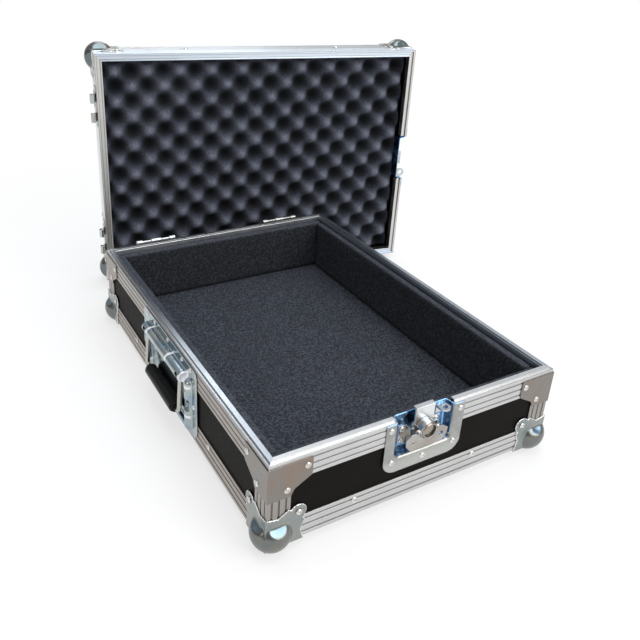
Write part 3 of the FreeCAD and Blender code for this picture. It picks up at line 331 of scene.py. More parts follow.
def handle_zinc(name, tray, colour, blush):
    """Glossy blue passivated zinc with painted highlights in bands and rings, and painted shade in a slot at
    each end.
    """
    finish = Finish(name, 1.0)
    where = finish.place(tray)
    low, high = tray.extent("handle_plate")
    middle, width, height = (low.y + high.y) / 2, high.y - low.y, high.z - low.z
    along, up = finish.part(where, "Y"), finish.part(where, "Z")

    def within(half, soft=1.0 * MM):
        """1 within a share of the width from the middle."""
        return finish.window(along, middle, half * width, soft)

    # Painted highlights: near-white, less metallic bands across the bead and rings on the ends.
    wear_and_highlight = 0.0
    for share in HANDLE_BANDS["places"]:
        band = finish.window(along, middle + share * width, HANDLE_BANDS["half"], 1.0 * MM)
        wear_and_highlight = band + wear_and_highlight
    wear_and_highlight = wear_and_highlight * finish.window(up, low.z + HANDLE_BEAD["middle"] * height, HANDLE_BEAD["half"] * height,
                                    HANDLE_BEAD["soft"] * height)
    ends = (1.0 - within(HANDLE_RINGS["from"])) * within(HANDLE_RINGS["to"])
    for share in HANDLE_RINGS["heights"]:
        ring = finish.window(up, low.z + share * height, HANDLE_RINGS["half"], 1.0 * MM)
        wear_and_highlight = ring * ends + wear_and_highlight
    # Painted shade: the slot at each end is darkened almost to black.
    slot = finish.window(up, low.z + HANDLE_SLOT["height"] * height, HANDLE_SLOT["half"], 0.4 * MM)
    slot = slot * (1.0 - within(HANDLE_SLOT["from"], 0.5 * MM)) * within(HANDLE_SLOT["to"], 0.5 * MM)
    slot = slot * finish.band(finish.part(where, "X"), *HANDLE_SLOT["out"])
    cloud = finish.noise(where, 34.0, 3.0, 0.55)
    grit = finish.noise(where, 900.0, 3.0, 0.6)
    base = finish.blend(finish.band(cloud, 0.4, 0.62), tone(colour), tone(blush))
    base = finish.blend(wear_and_highlight * 0.9, base, (0.95, 0.97, 1.0, 1.0))
    base = finish.blend(slot * 0.92, base, tone(colour, 0.08))
    rough = cloud * 0.14 + grit * 0.1 + 0.06
    swell = finish.noise(where, 55.0, 2.0, 0.5) + grit * 0.03 + wear_and_highlight * 0.6
    return finish.paint(Base_Color=base, Roughness=rough, Metallic=1.0 - wear_and_highlight * 0.6,
                        Normal=finish.bump(swell, 0.3, 0.0012))


def dish_zinc(name, tray, low, high, flange, inside):
    """Zinc with a painted blue reflection, deep and glossy, inside the pressing, and painted highlights along
    streak lines, at its brim and low on its flange.
    """
    finish = Finish(name, 1.0)
    where = finish.place(tray)
    depth = finish.band(finish.part(where, "Y"), 0.0002, 0.003)
    cloud = finish.noise(where, 60.0, 3.0, 0.6)
    drawn = finish.noise(finish.stretched(where, (260.0, 260.0, 40.0)), 1.0, 3.0, 0.6)
    streak_highlights = finish.band(drawn, 0.42, 0.62)
    grit = finish.noise(where, 900.0, 3.0, 0.6)
    outer = finish.blend(finish.band(cloud, 0.4, 0.66), tone(flange), tone(flange, 1.18))
    # Painted highlight: the flange is lighter towards its foot.
    foot = 1.0 - finish.band(finish.part(where, "Z"), low + 9 * MM, low + 24 * MM)
    outer = finish.blend(foot * 0.6, outer, tone(flange, 1.7))
    # Painted reflection: the pocket is painted blue, with painted highlights along streak lines.
    painted_reflection = finish.blend(streak_highlights, tone(inside), tone(inside, 2.4))
    base = finish.blend(depth, outer, painted_reflection)
    # Painted highlight: a light blue line along the top edge.
    brim = finish.band(finish.part(where, "Z"), high - 1.1 * MM, high - 0.5 * MM)
    base = finish.blend(brim * 0.8, base, tone(inside, 3.0))
    rough = cloud * 0.14 + grit * 0.1 + 0.2 - depth * 0.12
    height = finish.noise(where, 90.0, 2.0, 0.5) + grit * 0.03
    return finish.paint(Base_Color=base, Roughness=rough, Normal=finish.bump(height, 0.4, 0.0014))


def black_laminate(name, tray, colour):
    """Pressed laminate on plywood, with a leathery grain and faint scuffs."""
    finish = Finish(name)
    where = finish.place(tray)
    grain = finish.cells(where, 700.0)
    cloud = finish.noise(where, 9.0, 3.0, 0.6)
    scraped = finish.noise(finish.stretched(where, (30.0, 30.0, 260.0)), 1.0, 5.0, 0.7)
    scuffs = finish.band(scraped, 0.6, 0.78)
    base = finish.blend(scuffs * 0.3, tone(colour), tone(colour, 2.4))
    base = finish.blend(finish.band(cloud, 0.3, 0.8) * 0.4, base, tone(colour, 0.6))
    rough = grain * 0.2 + scuffs * 0.12 + 0.42
    return finish.paint(Base_Color=base, Roughness=rough, Specular_IOR_Level=0.05,
                        Normal=finish.bump(grain, 0.25, 0.0003))


def lining_foam(name, tray, colour, speck, crown):
    """Closed-cell charcoal foam: a cut skin with pale specks between dark cells, and a painted highlight
    along its crown.
    """
    finish = Finish(name)
    where = finish.place(tray)
    coarse = finish.noise(where, 330.0, 4.0, 0.75)
    fine = finish.noise(where, 1100.0, 3.0, 0.7)
    cloud = finish.noise(where, 12.0, 2.0, 0.5)
    mask = finish.band(coarse * 0.6 + fine * 0.4, 0.44, 0.62)
    base = finish.blend(mask, tone(colour, 0.62), tone(speck))
    base = finish.blend(finish.band(cloud, 0.3, 0.75) * 0.25, base, tone(colour))
    # Painted highlight: lighter specks over the top few millimetres up to the crown.
    crown_highlight = finish.band(finish.part(where, "Z"), crown - 3.5 * MM, crown - 0.6 * MM)
    base = finish.blend(crown_highlight * (0.25 + mask * 0.5), base, tone(speck, 1.9))
    return finish.paint(Base_Color=base, Roughness=1.0 - mask * 0.2, Specular_IOR_Level=0.3,
                        Normal=finish.bump(coarse + fine * 0.5, 0.7, 0.001))


def egg_crate_foam(name, tray, pit, slope, crest, low, high):
    """Open-cell foam: pale crests with a painted highlight that sink into black pits of painted shade."""
    finish = Finish(name)
    where = finish.place(tray)
    height = finish.node("ShaderNodeMapRange", {}, {
        "Value": finish.part(where, "Z"), "From Min": low, "From Max": high})
    coarse = finish.noise(where, 240.0, 4.0, 0.75)
    fine = finish.noise(where, 800.0, 3.0, 0.7)
    cloud = finish.noise(where, 16.0, 3.0, 0.6)
    speckle = finish.band(coarse * 0.55 + fine * 0.45, 0.38, 0.62)
    # Painted light by height: painted shade in the pits, a painted highlight on the crests.
    light = (height ** 4.0) * (speckle * 1.1 + 0.3)
    base = finish.blend(height ** 1.3, tone(pit), tone(slope))
    base = finish.blend(light, base, tone(crest))
    base = finish.blend(speckle * 0.45 * height, base, tone(slope, 1.9))
    base = finish.blend(finish.band(cloud, 0.42, 0.7) * 0.25 * height, base, tone(crest, 0.9))
    return finish.paint(Base_Color=base, Roughness=1.0 - light * 0.1, Specular_IOR_Level=0.2,
                        Normal=finish.bump(coarse + fine * 0.5, 0.6, 0.001))


def satin_rubber(name, tray, colour):
    """A moulded grip: satin, finely pored, rubbed lighter where fingers hold it."""
    finish = Finish(name)
    where = finish.place(tray)
    pores = finish.noise(where, 1400.0, 3.0, 0.6)
    wear_and_highlight = finish.band(finish.noise(where, 60.0, 4.0, 0.65), 0.45, 0.75)
    base = finish.blend(wear_and_highlight * 0.5, tone(colour), tone(colour, 2.0))
    rough = pores * 0.12 + wear_and_highlight * 0.1 + 0.3
    return finish.paint(Base_Color=base, Roughness=rough, Specular_IOR_Level=0.18,
                        Normal=finish.bump(pores, 0.15, 0.0002))


# Meshes

def new_piece(name, mesh, body, material):
    """An object for a finished mesh that rides on a body."""
    piece = bpy.data.objects.new(name, mesh)
    bpy.context.scene.collection.objects.link(piece)
    mesh.materials.clear()
    mesh.materials.append(material)
    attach(piece, body)
    return piece


def body_of_node(node):
    """The body that a CAD node rides on."""
    return frame["nodes"][node]["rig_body"]


def piece_for(node, suffix, mesh):
    """A piece for a CAD node, on its body, in its finish."""
    return new_piece(node + suffix, mesh, body_of_node(node), finish_of(node))


def mesh_of(shape, name, smooth_angle=None):
    """A mesh from a bmesh, smooth all over or up to an angle."""
    mesh = bpy.data.meshes.new(name)
    bmesh.ops.recalc_face_normals(shape, faces=shape.faces)
    shape.to_mesh(mesh)
    shape.free()
    mesh.shade_smooth()
    if smooth_angle is not None:
        mesh.set_sharp_from_angle(angle=math.radians(smooth_angle))
    return mesh


def welded(node):
    """A CAD node's shape with its doubled points joined and flat faces whole."""
    shape = bmesh.new()
    shape.from_mesh(frame["nodes"][node].data)
    bmesh.ops.remove_doubles(shape, verts=shape.verts, dist=0.002 * MM)
    bmesh.ops.dissolve_limit(shape, angle_limit=math.radians(0.4), verts=shape.verts, edges=shape.edges)
    return shape


def islands(shape):
    """The separate solids of a shape, each as a list of its vertices."""
    seen = set()
    found = []
    for start in shape.verts:
        if start in seen:
            continue
        seen.add(start)
        queue, island = [start], []
        while queue:
            vertex = queue.pop()
            island.append(vertex)
            for edge in vertex.link_edges:
                other = edge.other_vert(vertex)
                if other not in seen:
                    seen.add(other)
                    queue.append(other)
        found.append(island)
    return found


def lathe(profile, steps):
    """A closed turned shape about Z from (radius, height) points."""
    shape = bmesh.new()
    rings = []
    for radius, height in profile:
        if radius == 0:
            rings.append([shape.verts.new((0, 0, height))])
        else:
            turns = [2 * math.pi * i / steps for i in range(steps)]
            rings.append([shape.verts.new((radius * math.cos(turn), radius * math.sin(turn), height))
                          for turn in turns])
    for ring, following in zip(rings, rings[1:]):
        for i in range(steps):
            corners = [ring[i % len(ring)], ring[(i + 1) % len(ring)],
                       following[(i + 1) % len(following)], following[i % len(following)]]
            unique = list(dict.fromkeys(corners))
            if len(unique) > 2:
                shape.faces.new(unique)
    for ring in (rings[0], rings[-1]):
        if len(ring) > 1:
            shape.faces.new(ring)
    return shape


def poured(shape, into, matrix):
    """Copy a shape into another, moved by a matrix."""
    places = {vertex: into.verts.new(matrix @ vertex.co) for vertex in shape.verts}
    for face in shape.faces:
        into.faces.new([places[vertex] for vertex in face.verts]).material_index = face.material_index


def softened(node, width):
    """A CAD piece with its edges broken, as dies and deburring leave them."""
    shape = welded(node)
    sharp = [edge for edge in shape.edges
             if len(edge.link_faces) == 2 and edge.calc_face_angle(0) > SHARP_EDGE]
    bmesh.ops.bevel(shape, geom=sharp, offset=width, segments=2, profile=0.6,
                    affect="EDGES", clamp_overlap=True)
    piece = piece_for(node, "_soft", mesh_of(shape, node + "_soft", 35))
    piece.modifiers.new("even shading", "WEIGHTED_NORMAL").keep_sharp = True
    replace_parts(piece, node)
    return piece


def remeshed(node, suffix, cell, ease):
    """A piece from a CAD node's shape, remeshed in even cells and smoothed."""
    piece = piece_for(node, suffix, mesh_of(welded(node), node + suffix))
    cells = piece.modifiers.new("cells", "REMESH")
    cells.mode = "VOXEL"
    cells.voxel_size = cell
    piece.modifiers.new("ease", "SMOOTH").iterations = ease
    mesh = bpy.data.meshes.new_from_object(piece.evaluated_get(bpy.context.evaluated_depsgraph_get()))
    piece.modifiers.clear()
    piece.data = mesh
    return piece


def reshape(piece, node, points):
    """Move a piece's points, none of them out of its CAD node's box."""
    low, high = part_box(node)
    held = [min(max(point[i], low[i]), high[i]) for point in points for i in range(3)]
    piece.data.vertices.foreach_set("co", held)
    piece.data.update()
    piece.data.shade_smooth()


def pressed(node, cell, ease):
    """A sheet-metal piece with its bends eased, as a die leaves them."""
    piece = remeshed(node, "_pressed", cell, ease)
    reshape(piece, node, [vertex.co for vertex in piece.data.vertices])
    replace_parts(piece, node)


def skin_mesh(name, points, faces):
    """A smooth mesh from a skin's points and faces."""
    mesh = bpy.data.meshes.new(name)
    mesh.from_pydata(points, [], faces)
    mesh.shade_smooth()
    return mesh


def part_of(level, start, size):
    """A block of a grid, from a place on and of a size."""
    return level[tuple(slice(first, first + count) for first, count in zip(start, size))]


def skin_of(field, low, high, cell):
    """Points and four-sided faces round all that a field of distances holds below zero."""
    axes = [np.arange(low[i], high[i] + cell, cell) for i in range(3)]
    level = field(*np.meshgrid(*axes, indexing="ij"))
    size = [count - 1 for count in level.shape]
    total = np.zeros((*size, 3))
    crossings = np.zeros(size)
    for start in itertools.product((0, 1), repeat=3):
        for axis in range(3):
            if start[axis] == 0:
                here = part_of(level, start, size)
                there = part_of(level, [start[i] + (i == axis) for i in range(3)], size)
                crossed = (here < 0) != (there < 0)
                share = here / np.where(crossed, here - there, 1.0)
                crossings += crossed
                for i in range(3):
                    total[..., i] += crossed * (start[i] + share * (i == axis))
    held = crossings > 0
    numbers = np.full(size, -1)
    numbers[held] = np.arange(held.sum())
    points = np.array(low) + cell * (np.argwhere(held) + total[held] / crossings[held][:, None])
    return points, np.concatenate([crossed_faces(level, numbers, axis) for axis in range(3)])


def crossed_faces(level, numbers, axis):
    """One face across each grid edge along an axis whose ends lie on different sides of zero."""
    here = level[tuple(slice(0, -1) if i == axis else slice(1, -1) for i in range(3))]
    there = level[tuple(slice(1, None) if i == axis else slice(1, -1) for i in range(3))]
    places = np.argwhere((here < 0) != (there < 0))
    outward = here[tuple(places.T)] < 0
    places += [int(i != axis) for i in range(3)]
    one, other = np.eye(3, dtype=int)[(axis + 1) % 3], np.eye(3, dtype=int)[(axis + 2) % 3]
    corners = [places - one - other, places - other, places, places - one]
    faces = np.stack([numbers[tuple(corner.T)] for corner in corners], axis=1)
    faces[~outward] = faces[~outward][:, ::-1]
    return faces


def outline_distance(a, b, points):
    """Distance from a closed outline, negative inside it."""
    nearest = np.full(a.shape, np.inf)
    inside = np.zeros(a.shape, dtype=bool)
    for (a0, b0), (a1, b1) in zip(points, points[1:] + points[:1]):
        share = ((a - a0) * (a1 - a0) + (b - b0) * (b1 - b0)) / ((a1 - a0) ** 2 + (b1 - b0) ** 2)
        share = np.clip(share, 0, 1)
        nearest = np.minimum(nearest, np.hypot(a - a0 - share * (a1 - a0), b - b0 - share * (b1 - b0)))
        if b0 != b1:
            inside ^= ((b0 > b) != (b1 > b)) & (a < a0 + (b - b0) * (a1 - a0) / (b1 - b0))
    return np.where(inside, -nearest, nearest)


def melted(first, second, width):
    """The nearer of two distances, with a fillet where they meet."""
    share = np.clip(0.5 + 0.5 * (second - first) / width, 0, 1)
    return second + (first - second) * share - width * share * (1 - share)


def eased(value, low, high):
    """0 below low and 1 above high, smooth between them."""
    share = np.clip((value - low) / (high - low), 0, 1)
    return share * share * (3 - 2 * share)


def bar_finishes(piece, tray, long_finish):
    """Give the bars that run along the tray the second finish, the same metal in other painted light and
    shade; they meet the others at mitres.
    """
    piece.data.materials.append(long_finish)
    back = tray.matrix.inverted()
    for face in piece.data.polygons:
        point = back @ face.center
        across = min(point.x, tray.size.x - point.x)
        along = min(point.y, tray.size.y - point.y)
        face.material_index = 1 if across < along else 0


def outer_finish(piece, side):
    """Give the faces that look out from a side of the base the finish of the edge angle below them, with that
    side's painted light and shade.
    """
    angle = "base_angle_short" if side in ("front", "back") else "base_angle_long"
    piece.data.materials.append(FINISHES[angle])
    out = -(BASE.side(side).to_3x3() @ Vector((0, 1, 0)))
    for face in piece.data.polygons:
        face.material_index = 1 if face.normal.dot(out) > 0.7 else 0


# Settings

def length(label, description, default):
    """A property for a length."""
    return FloatProperty(name=label, description=description, default=default, unit="LENGTH", precision=4)


def lengths(label, description, default):
    """A property for lengths that belong together."""
    return FloatVectorProperty(name=label, description=description, size=len(default), default=default,
                               unit="LENGTH", precision=4)


def portion(label, description, default):
    """A property for a plain number."""
    return FloatProperty(name=label, description=description, default=default, subtype="FACTOR", precision=3)


def tint(label, description, default):
    """A property for a colour, as linear light."""
    return FloatVectorProperty(name=label, description=description, size=3, default=default,
                               subtype="COLOR", min=0.0, max=1.0)


def own_properties(settings):
    """A group's own properties, without the ones that every group has."""
    return [prop for prop in settings.bl_rna.properties if prop.is_runtime]


def in_mm(settings):
    """A group's values by name, its lengths in millimetres."""
    values = {}
    for prop in own_properties(settings):
        value = getattr(settings, prop.identifier)
        if prop.unit == "LENGTH":
            value = [round(part / MM, 4) for part in value] if prop.is_array else round(value / MM, 4)
        values[prop.identifier] = value
    return SimpleNamespace(**values)


class ColourSettings(bpy.types.PropertyGroup):
    """Colours of the case's finishes."""
    laminate: tint("Laminate", "The panels", (0.0062, 0.0050, 0.0038))
    floor_foam: tint("Floor foam", "Cut skin of the floor's lining", (0.024, 0.0275, 0.0355))
    floor_speck: tint("Floor speck", "Pale specks of the floor's lining", (0.086, 0.096, 0.122))
    # The walls' foam is the floor's foam painted darker: painted shade on the upright faces.
    wall_foam: tint("Wall foam", "Cut skin of the walls' linings", (0.0135, 0.0155, 0.020))
    wall_speck: tint("Wall speck", "Pale specks of the walls' linings", (0.045, 0.051, 0.064))
    # The egg-crate's pit, slope and crest colours are painted shade and painted highlight on one foam.
    crate_pit: tint("Egg-crate pits", "The lid's foam, deep down", (0.0036, 0.0042, 0.0045))
    crate_slope: tint("Egg-crate slopes", "The lid's foam between pits and crests", (0.04, 0.045, 0.062))
    crate_crest: tint("Egg-crate crests", "The lid's foam at its crests", (0.19, 0.205, 0.255))
    # Each tray's short and long bars are one metal: their different tones are painted light and shade, as
    # light falls on the ends and on the sides.
    base_rim_short: tint("Base rim, ends", "Closing frame at front and back", (0.80, 0.805, 0.81))
    base_rim_long: tint("Base rim, sides", "Closing frame at left and right", (0.57, 0.62, 0.67))
    base_angle_short: tint("Base angles, ends", "Edge angles at front and back", (0.61, 0.61, 0.605))
    base_angle_long: tint("Base angles, sides", "Edge angles at left and right", (0.385, 0.35, 0.315))
    lid_rim_short: tint("Lid rim, ends", "Closing frame at front and back", (0.68, 0.675, 0.655))
    lid_rim_long: tint("Lid rim, sides", "Closing frame at left and right", (0.67, 0.74, 0.82))
    lid_angle_short: tint("Lid angles, ends", "Edge angles at front and back", (0.78, 0.84, 0.90))
    lid_angle_long: tint("Lid angles, sides", "Edge angles at left and right", (0.58, 0.61, 0.64))
    post: tint("Corner posts", "Grooved posts between rim and floor", (0.36, 0.335, 0.31))
    brace: tint("Braces", "Plates over the corners of the rim", (0.235, 0.225, 0.21))
    corner: tint("Corner plates", "Plates of the ball corners", (0.27, 0.30, 0.30))
    ball: tint("Balls", "Balls of the ball corners", (0.17, 0.185, 0.18))
    # Painted reflection: the dents have tints of their own, bluer than the balls, for what they mirror.
    base_dent: tint("Base dents", "Dents in the base's balls", (0.24, 0.33, 0.40))
    lid_dent: tint("Lid dents", "Dents in the lid's balls", (0.15, 0.19, 0.20))
    # Painted highlight: the corner plates' outer edges are painted near white.
    bright_edge: tint("Cut edges", "Outer edges of the corner plates", (0.90, 0.91, 0.92))
    rivet: tint("Rivets", "Rivet and screw heads", (0.70, 0.70, 0.69))
    # Painted shade: the hollow in each rivet head is painted near black.
    pin: tint("Rivet pins", "The hollow in a rivet's head", (0.035, 0.034, 0.033))
    hinge: tint("Hinges", "Hinge leaves and lid hooks", (0.50, 0.53, 0.54))
    dish: tint("Dishes", "Flanges of latch dish and keeper dish", (0.33, 0.335, 0.32))
    # Painted reflection: the blue that the dish pockets show.
    dish_pool: tint("Dish pockets", "Blue tint inside the dishes", (0.12, 0.22, 0.36))
    handle: tint("Handle plate", "The handle's sprung plate", (0.30, 0.385, 0.44))
    bail: tint("Bail", "The handle's bail", (0.50, 0.50, 0.46))
    grip: tint("Grip", "The handle's grip", (0.004, 0.0045, 0.005))
    bushes: tint("Bushes", "The handle's nylon bushes", (0.02, 0.02, 0.02))
    wing: tint("Wing", "The latch's wing", (0.37, 0.335, 0.305))
    claw: tint("Claw", "The latch's hooked claw", (0.74, 0.76, 0.77))
    nose: tint("Nose", "Hollow face of the latch's nose", (0.34, 0.30, 0.255))
    works: tint("Works", "Spindle, channels, padlock eyes and keeper bar", (0.56, 0.60, 0.63))


class FoamSettings(bpy.types.PropertyGroup):
    """Sizes of the lid's egg-crate foam and of the base's linings."""
    pitch_along: length("Pitch along", "Bump to bump along the lid", 52.9 * MM)
    pitch_across: length("Pitch across", "Bump to bump across the lid", 49.8 * MM)
    first_row: length("First row", "First row of bumps from the lid's lower edge", 21.4 * MM)
    depth: length("Depth", "Crest to pit", 27.4 * MM)
    rounding: portion("Rounding", "How flat crests and pits are", 0.25)
    swell: portion("Swell", "Share of the depth that the even bumps take", 0.96)
    wander: portion("Wander", "Share of the depth that bumps differ by", 0.05)
    wander_size: length("Wander size", "How far apart bumps differ", 9.0 * MM)
    cell: length("Mesh cell", "Spacing of the egg-crate foam's mesh", 3.2 * MM)
    lining_cell: length("Lining cell", "Spacing of the linings' mesh", 3.5 * MM)
    lining_wander: length("Lining unevenness", "How far a lining's faces wander", 0.35 * MM)
    lining_wander_size: length("Lining swell", "How far apart they wander", 14.0 * MM)


class CameraSettings(bpy.types.PropertyGroup):
    """The camera's place and lens."""
    place: FloatVectorProperty(name="Place", description="Where the camera stands",
                               default=(-0.5592, -0.8428, 0.6164), subtype="TRANSLATION")
    turn: FloatVectorProperty(name="Turn", description="The camera's angles",
                              default=[math.radians(angle) for angle in (65.096, -2.616, -29.333)],
                              subtype="EULER")
    focal: FloatProperty(name="Focal length", description="In pixels of the 640-pixel picture",
                         default=721.57)
    middle: FloatVectorProperty(name="Middle", description="The optical axis in the picture, in pixels",
                                size=2, default=(294.5, 252.7))


class CornerSettings(bpy.types.PropertyGroup):
    """Sizes of the pressed ball corners, from the case's own corner."""
    ball: length("Ball", "Radius of the ball", 23.5 * MM)
    inset: length("Inset", "From the case's faces in to the ball's middle", 12.0 * MM)
    flat: length("Foot", "From the case's panel out to the ball's flat foot", 11.0 * MM)
    metal: length("Metal", "Thickness of the plates", 1.7 * MM)
    edge: length("Edge", "Reach of a plate along the case's edge", 41.0 * MM)
    flare: length("Flare", "Reach of a plate at the floor", 45.0 * MM)
    waist: length("Waist", "Where a plate starts to widen towards its lobe", 13.0 * MM)
    waist_in: length("Waist in", "How much a plate narrows at its upper waist", 3.0 * MM)
    hip: length("Hip", "Where a plate is widest beside its lobe", 26.0 * MM)
    hip_out: length("Hip out", "How much wider a plate is there than at its edge", 5.0 * MM)
    lobe: length("Lobe", "Radius of the lobe round a rivet", 10.5 * MM)
    lobe_at: length("Lobe place", "From both faces in to the rivet", 37.5 * MM)
    lobe_fillet: length("Lobe fillet", "Softness of a plate's outline beside its lobe", 2.0 * MM)
    step: length("Step", "How far a lobe is set back to the panel", 0.6 * MM)
    step_at: length("Step place", "Where the set-back starts", 28.5 * MM)
    step_run: length("Step run", "How long the set-back takes", 3.0 * MM)
    dent_at: lengths("Dent place", "Along the face, out from it, and up", (12.4 * MM, 8.2 * MM, 27.0 * MM))
    dent: lengths("Dent", "Half the dent's width, depth and height", (17.0 * MM, 4.2 * MM, 8.4 * MM))
    dent_lean: FloatProperty(name="Dent lean", description="How far the dent leans back from the upright",
                             default=math.radians(49), subtype="ANGLE")
    dent_roll: length("Dent roll", "Softness of the dent's brim", 2.2 * MM)
    crease: length("Crease", "Where the crease between the dents starts to fade", 24.0 * MM)
    crease_fade: portion("Crease fade", "How fast the crease fades below that", 0.4)
    fillet: length("Fillet", "Softness between the ball and its plates", 1.2 * MM)
    cell: length("Mesh cell", "Spacing of the corners' mesh", 0.9 * MM)


class LatchDishSettings(bpy.types.PropertyGroup):
    """Sizes of the latch's dish."""
    metal: length("Metal", "Thickness of the sheet", 1.3 * MM)
    recess: length("Recess", "Depth of the pocket", 12.0 * MM)
    draft: length("Draft", "How far the walls lean in towards the floor", 3.0 * MM)
    opening: length("Opening", "Half the pocket's width", 40.0 * MM)
    opening_depth: length("Opening depth", "Height of the pocket", 49.0 * MM)
    inner_radius: length("Inner radius", "Radius of the pocket's corners", 7.0 * MM)
    radius: length("Radius", "Radius of the flange's corners", 18.0 * MM)
    roll: length("Roll", "Softness of the bend from flange to pocket", 4.5 * MM)
    floor_roll: length("Floor roll", "Softness of the bend from wall to floor", 2.5 * MM)
    boss_drop: length("Boss drop", "From the split down to the spindle", 19.0 * MM)
    boss: length("Boss", "Radius of the bearing's boss", 8.0 * MM)
    boss_rise: length("Boss rise", "How far the boss stands out from the floor", 1.5 * MM)
    boss_root: length("Boss root", "How far the boss reaches into the sheet", 0.1 * MM)
    bore: length("Bore", "Radius of the bearing's bore", 4.2 * MM)
    cell: length("Mesh cell", "Spacing of the mesh", 0.8 * MM)


class KeeperDishSettings(LatchDishSettings):
    """Sizes of the keeper's dish, where they differ."""
    opening_depth: length("Opening depth", "Height of the pocket", 27.0 * MM)
    radius: length("Radius", "Radius of the flange's corners", 13.0 * MM)
    boss_drop: length("Boss drop", "Far off, for a dish with no spindle", 900.0 * MM)


class WingSettings(bpy.types.PropertyGroup):
    """Sizes of the latch's wing, from its pin."""
    shoulder: lengths("Shoulder", "Aside and up", (16.0 * MM, 3.0 * MM))
    side: lengths("Side", "Aside and up", (29.9 * MM, -6.8 * MM))
    hip: lengths("Hip", "Aside and up", (29.2 * MM, -15.5 * MM))
    foot: lengths("Foot", "Aside and up", (22.5 * MM, -24.0 * MM))
    notch: length("Notch", "Radius of the notch round the nose", 11.6 * MM)
    notch_roll: length("Notch roll", "Softness of the notch's ends", 1.0 * MM)
    hole: length("Hole", "Radius of the two holes", 2.4 * MM)
    hole_at: lengths("Hole place", "Aside and up", (20.4 * MM, -12.0 * MM))
    knuckle: lengths("Knuckle", "Outer end and radius", (15.0 * MM, 2.6 * MM))
    knuckle_fillet: length("Knuckle fillet", "Softness between plate and knuckles", 1.2 * MM)
    pin: length("Pin", "Radius of the knuckle's bore", 1.55 * MM)
    metal: length("Metal", "Thickness of the plate", 1.6 * MM)
    brim_roll: length("Brim roll", "Softness of the plate's edges", 0.9 * MM)
    cell: length("Mesh cell", "Spacing of the mesh", 0.5 * MM)


GROUPS = {"case_colours": ColourSettings, "case_foam": FoamSettings, "case_camera": CameraSettings,
          "case_corner": CornerSettings, "case_latch": LatchDishSettings, "case_keeper": KeeperDishSettings,
          "case_wing": WingSettings}


# Operators

class CASE_OT_stage(bpy.types.Operator):
    """Pale floor, soft lamps, bright surroundings and the camera"""
    bl_idname = "flightcase.stage"
    bl_label = "Stage"

    def execute(self, context):
        context.scene.view_settings.view_transform = "Standard"
        make_camera(context.scene.case_camera)
        make_floor()
        make_world()
        make_lamps()
        return {"FINISHED"}


def make_camera(settings):
    """The camera, its optical axis shifted to where the picture has it."""
    data = bpy.data.cameras.new("camera")
    camera = bpy.data.objects.new("camera", data)
    bpy.context.scene.collection.objects.link(camera)
    camera.location = settings.place
    camera.rotation_euler = settings.turn
    data.lens = settings.focal / PICTURE * data.sensor_width
    data.shift_x = 0.5 - settings.middle[0] / PICTURE
    data.shift_y = settings.middle[1] / PICTURE - 0.5
    data.clip_start = 20 * MM
    bpy.context.scene.camera = camera


# The floor: its radius, and how far from the case its glow starts to rise and is full
FLOOR_RADIUS = 9.0
GLOW_NEAR, GLOW_FAR, GLOW_SHARE = 0.45, 1.3, 0.65


def make_floor():
    """A white floor that keeps part of its own light, so the shadow stays soft."""
    shape = bmesh.new()
    bmesh.ops.create_circle(shape, cap_ends=True, segments=96, radius=FLOOR_RADIUS)
    floor = bpy.data.objects.new("floor", mesh_of(shape, "floor"))
    bpy.context.scene.collection.objects.link(floor)
    floor.data.materials.append(floor_paper())


def floor_paper():
    """White paper that glows towards the lens and in metal, and fully so away from the case."""
    paper = Finish("floor_paper")
    where = paper.node("ShaderNodeTexCoord", {}, {}, "Object")
    flat = paper.stretched(where, (1.0, 1.0, 0.0))
    distance = paper.node("ShaderNodeVectorMath", {"operation": "LENGTH"}, {0: flat}, "Value")
    seen = paper.node("ShaderNodeLightPath", {}, {}, "Is Camera Ray")
    mirrored = paper.node("ShaderNodeLightPath", {}, {}, "Is Glossy Ray")
    risen = paper.band(distance, GLOW_NEAR, GLOW_FAR)
    share = (seen + mirrored) * (risen * (1 - GLOW_SHARE) + GLOW_SHARE)
    glow = paper.node("ShaderNodeEmission", {}, {"Color": WHITE})
    fibres = paper.noise(where, 60.0, 4.0, 0.6)
    paper.paint(Base_Color=paper.blend(fibres, tone(WHITE, 0.88), tone(WHITE, 0.92)), Roughness=0.9)
    lit = Signal(paper, paper.shader.outputs[0])
    mixed = paper.node("ShaderNodeMixShader", {}, {0: share, 1: lit, 2: glow})
    paper.feed(paper.tree.nodes["Material Output"].inputs["Surface"], mixed)
    return paper.owner


class Surroundings(Finish):
    """The world's own nodes, made as a finish's are."""

    def __init__(self, name):
        self.owner = bpy.data.worlds.new(name)
        bpy.context.scene.world = self.owner
        self.owner.use_nodes = True
        self.tree = self.owner.node_tree
        self.shader = self.tree.nodes["Background"]


def make_world():
    """Surroundings: bright overhead and ahead of the latch, dimmer and warmer to the left."""
    room = Surroundings("surroundings")
    where = room.node("ShaderNodeTexCoord", {}, {}, "Generated")
    height = room.node("ShaderNodeMapRange", {}, {"Value": room.part(where, "Z"), "From Min": -0.3})
    up = room.node("ShaderNodeValToRGB", {"stops": (
        (0.0, (0.42, 0.40, 0.38, 1)), (0.5, (0.52, 0.52, 0.52, 1)), (1.0, (0.84, 0.89, 0.97, 1)))},
        {0: height})
    spread = room.node("ShaderNodeMapRange", {}, {"Value": room.part(where, "X"), "From Min": -1.0})
    side = room.node("ShaderNodeValToRGB", {"stops": (
        (0.0, (0.58, 0.52, 0.47, 1)), (0.45, (0.95, 0.95, 0.95, 1)), (1.0, (1, 1, 1, 1)))}, {0: spread})
    both = room.node("ShaderNodeMix", {"data_type": "RGBA", "blend_type": "MULTIPLY"},
                     {0: 1.0, 6: up, 7: side}, 2)
    seen = room.node("ShaderNodeLightPath", {}, {}, "Is Camera Ray")
    room.paint(Color=room.blend(seen, both, WHITE))


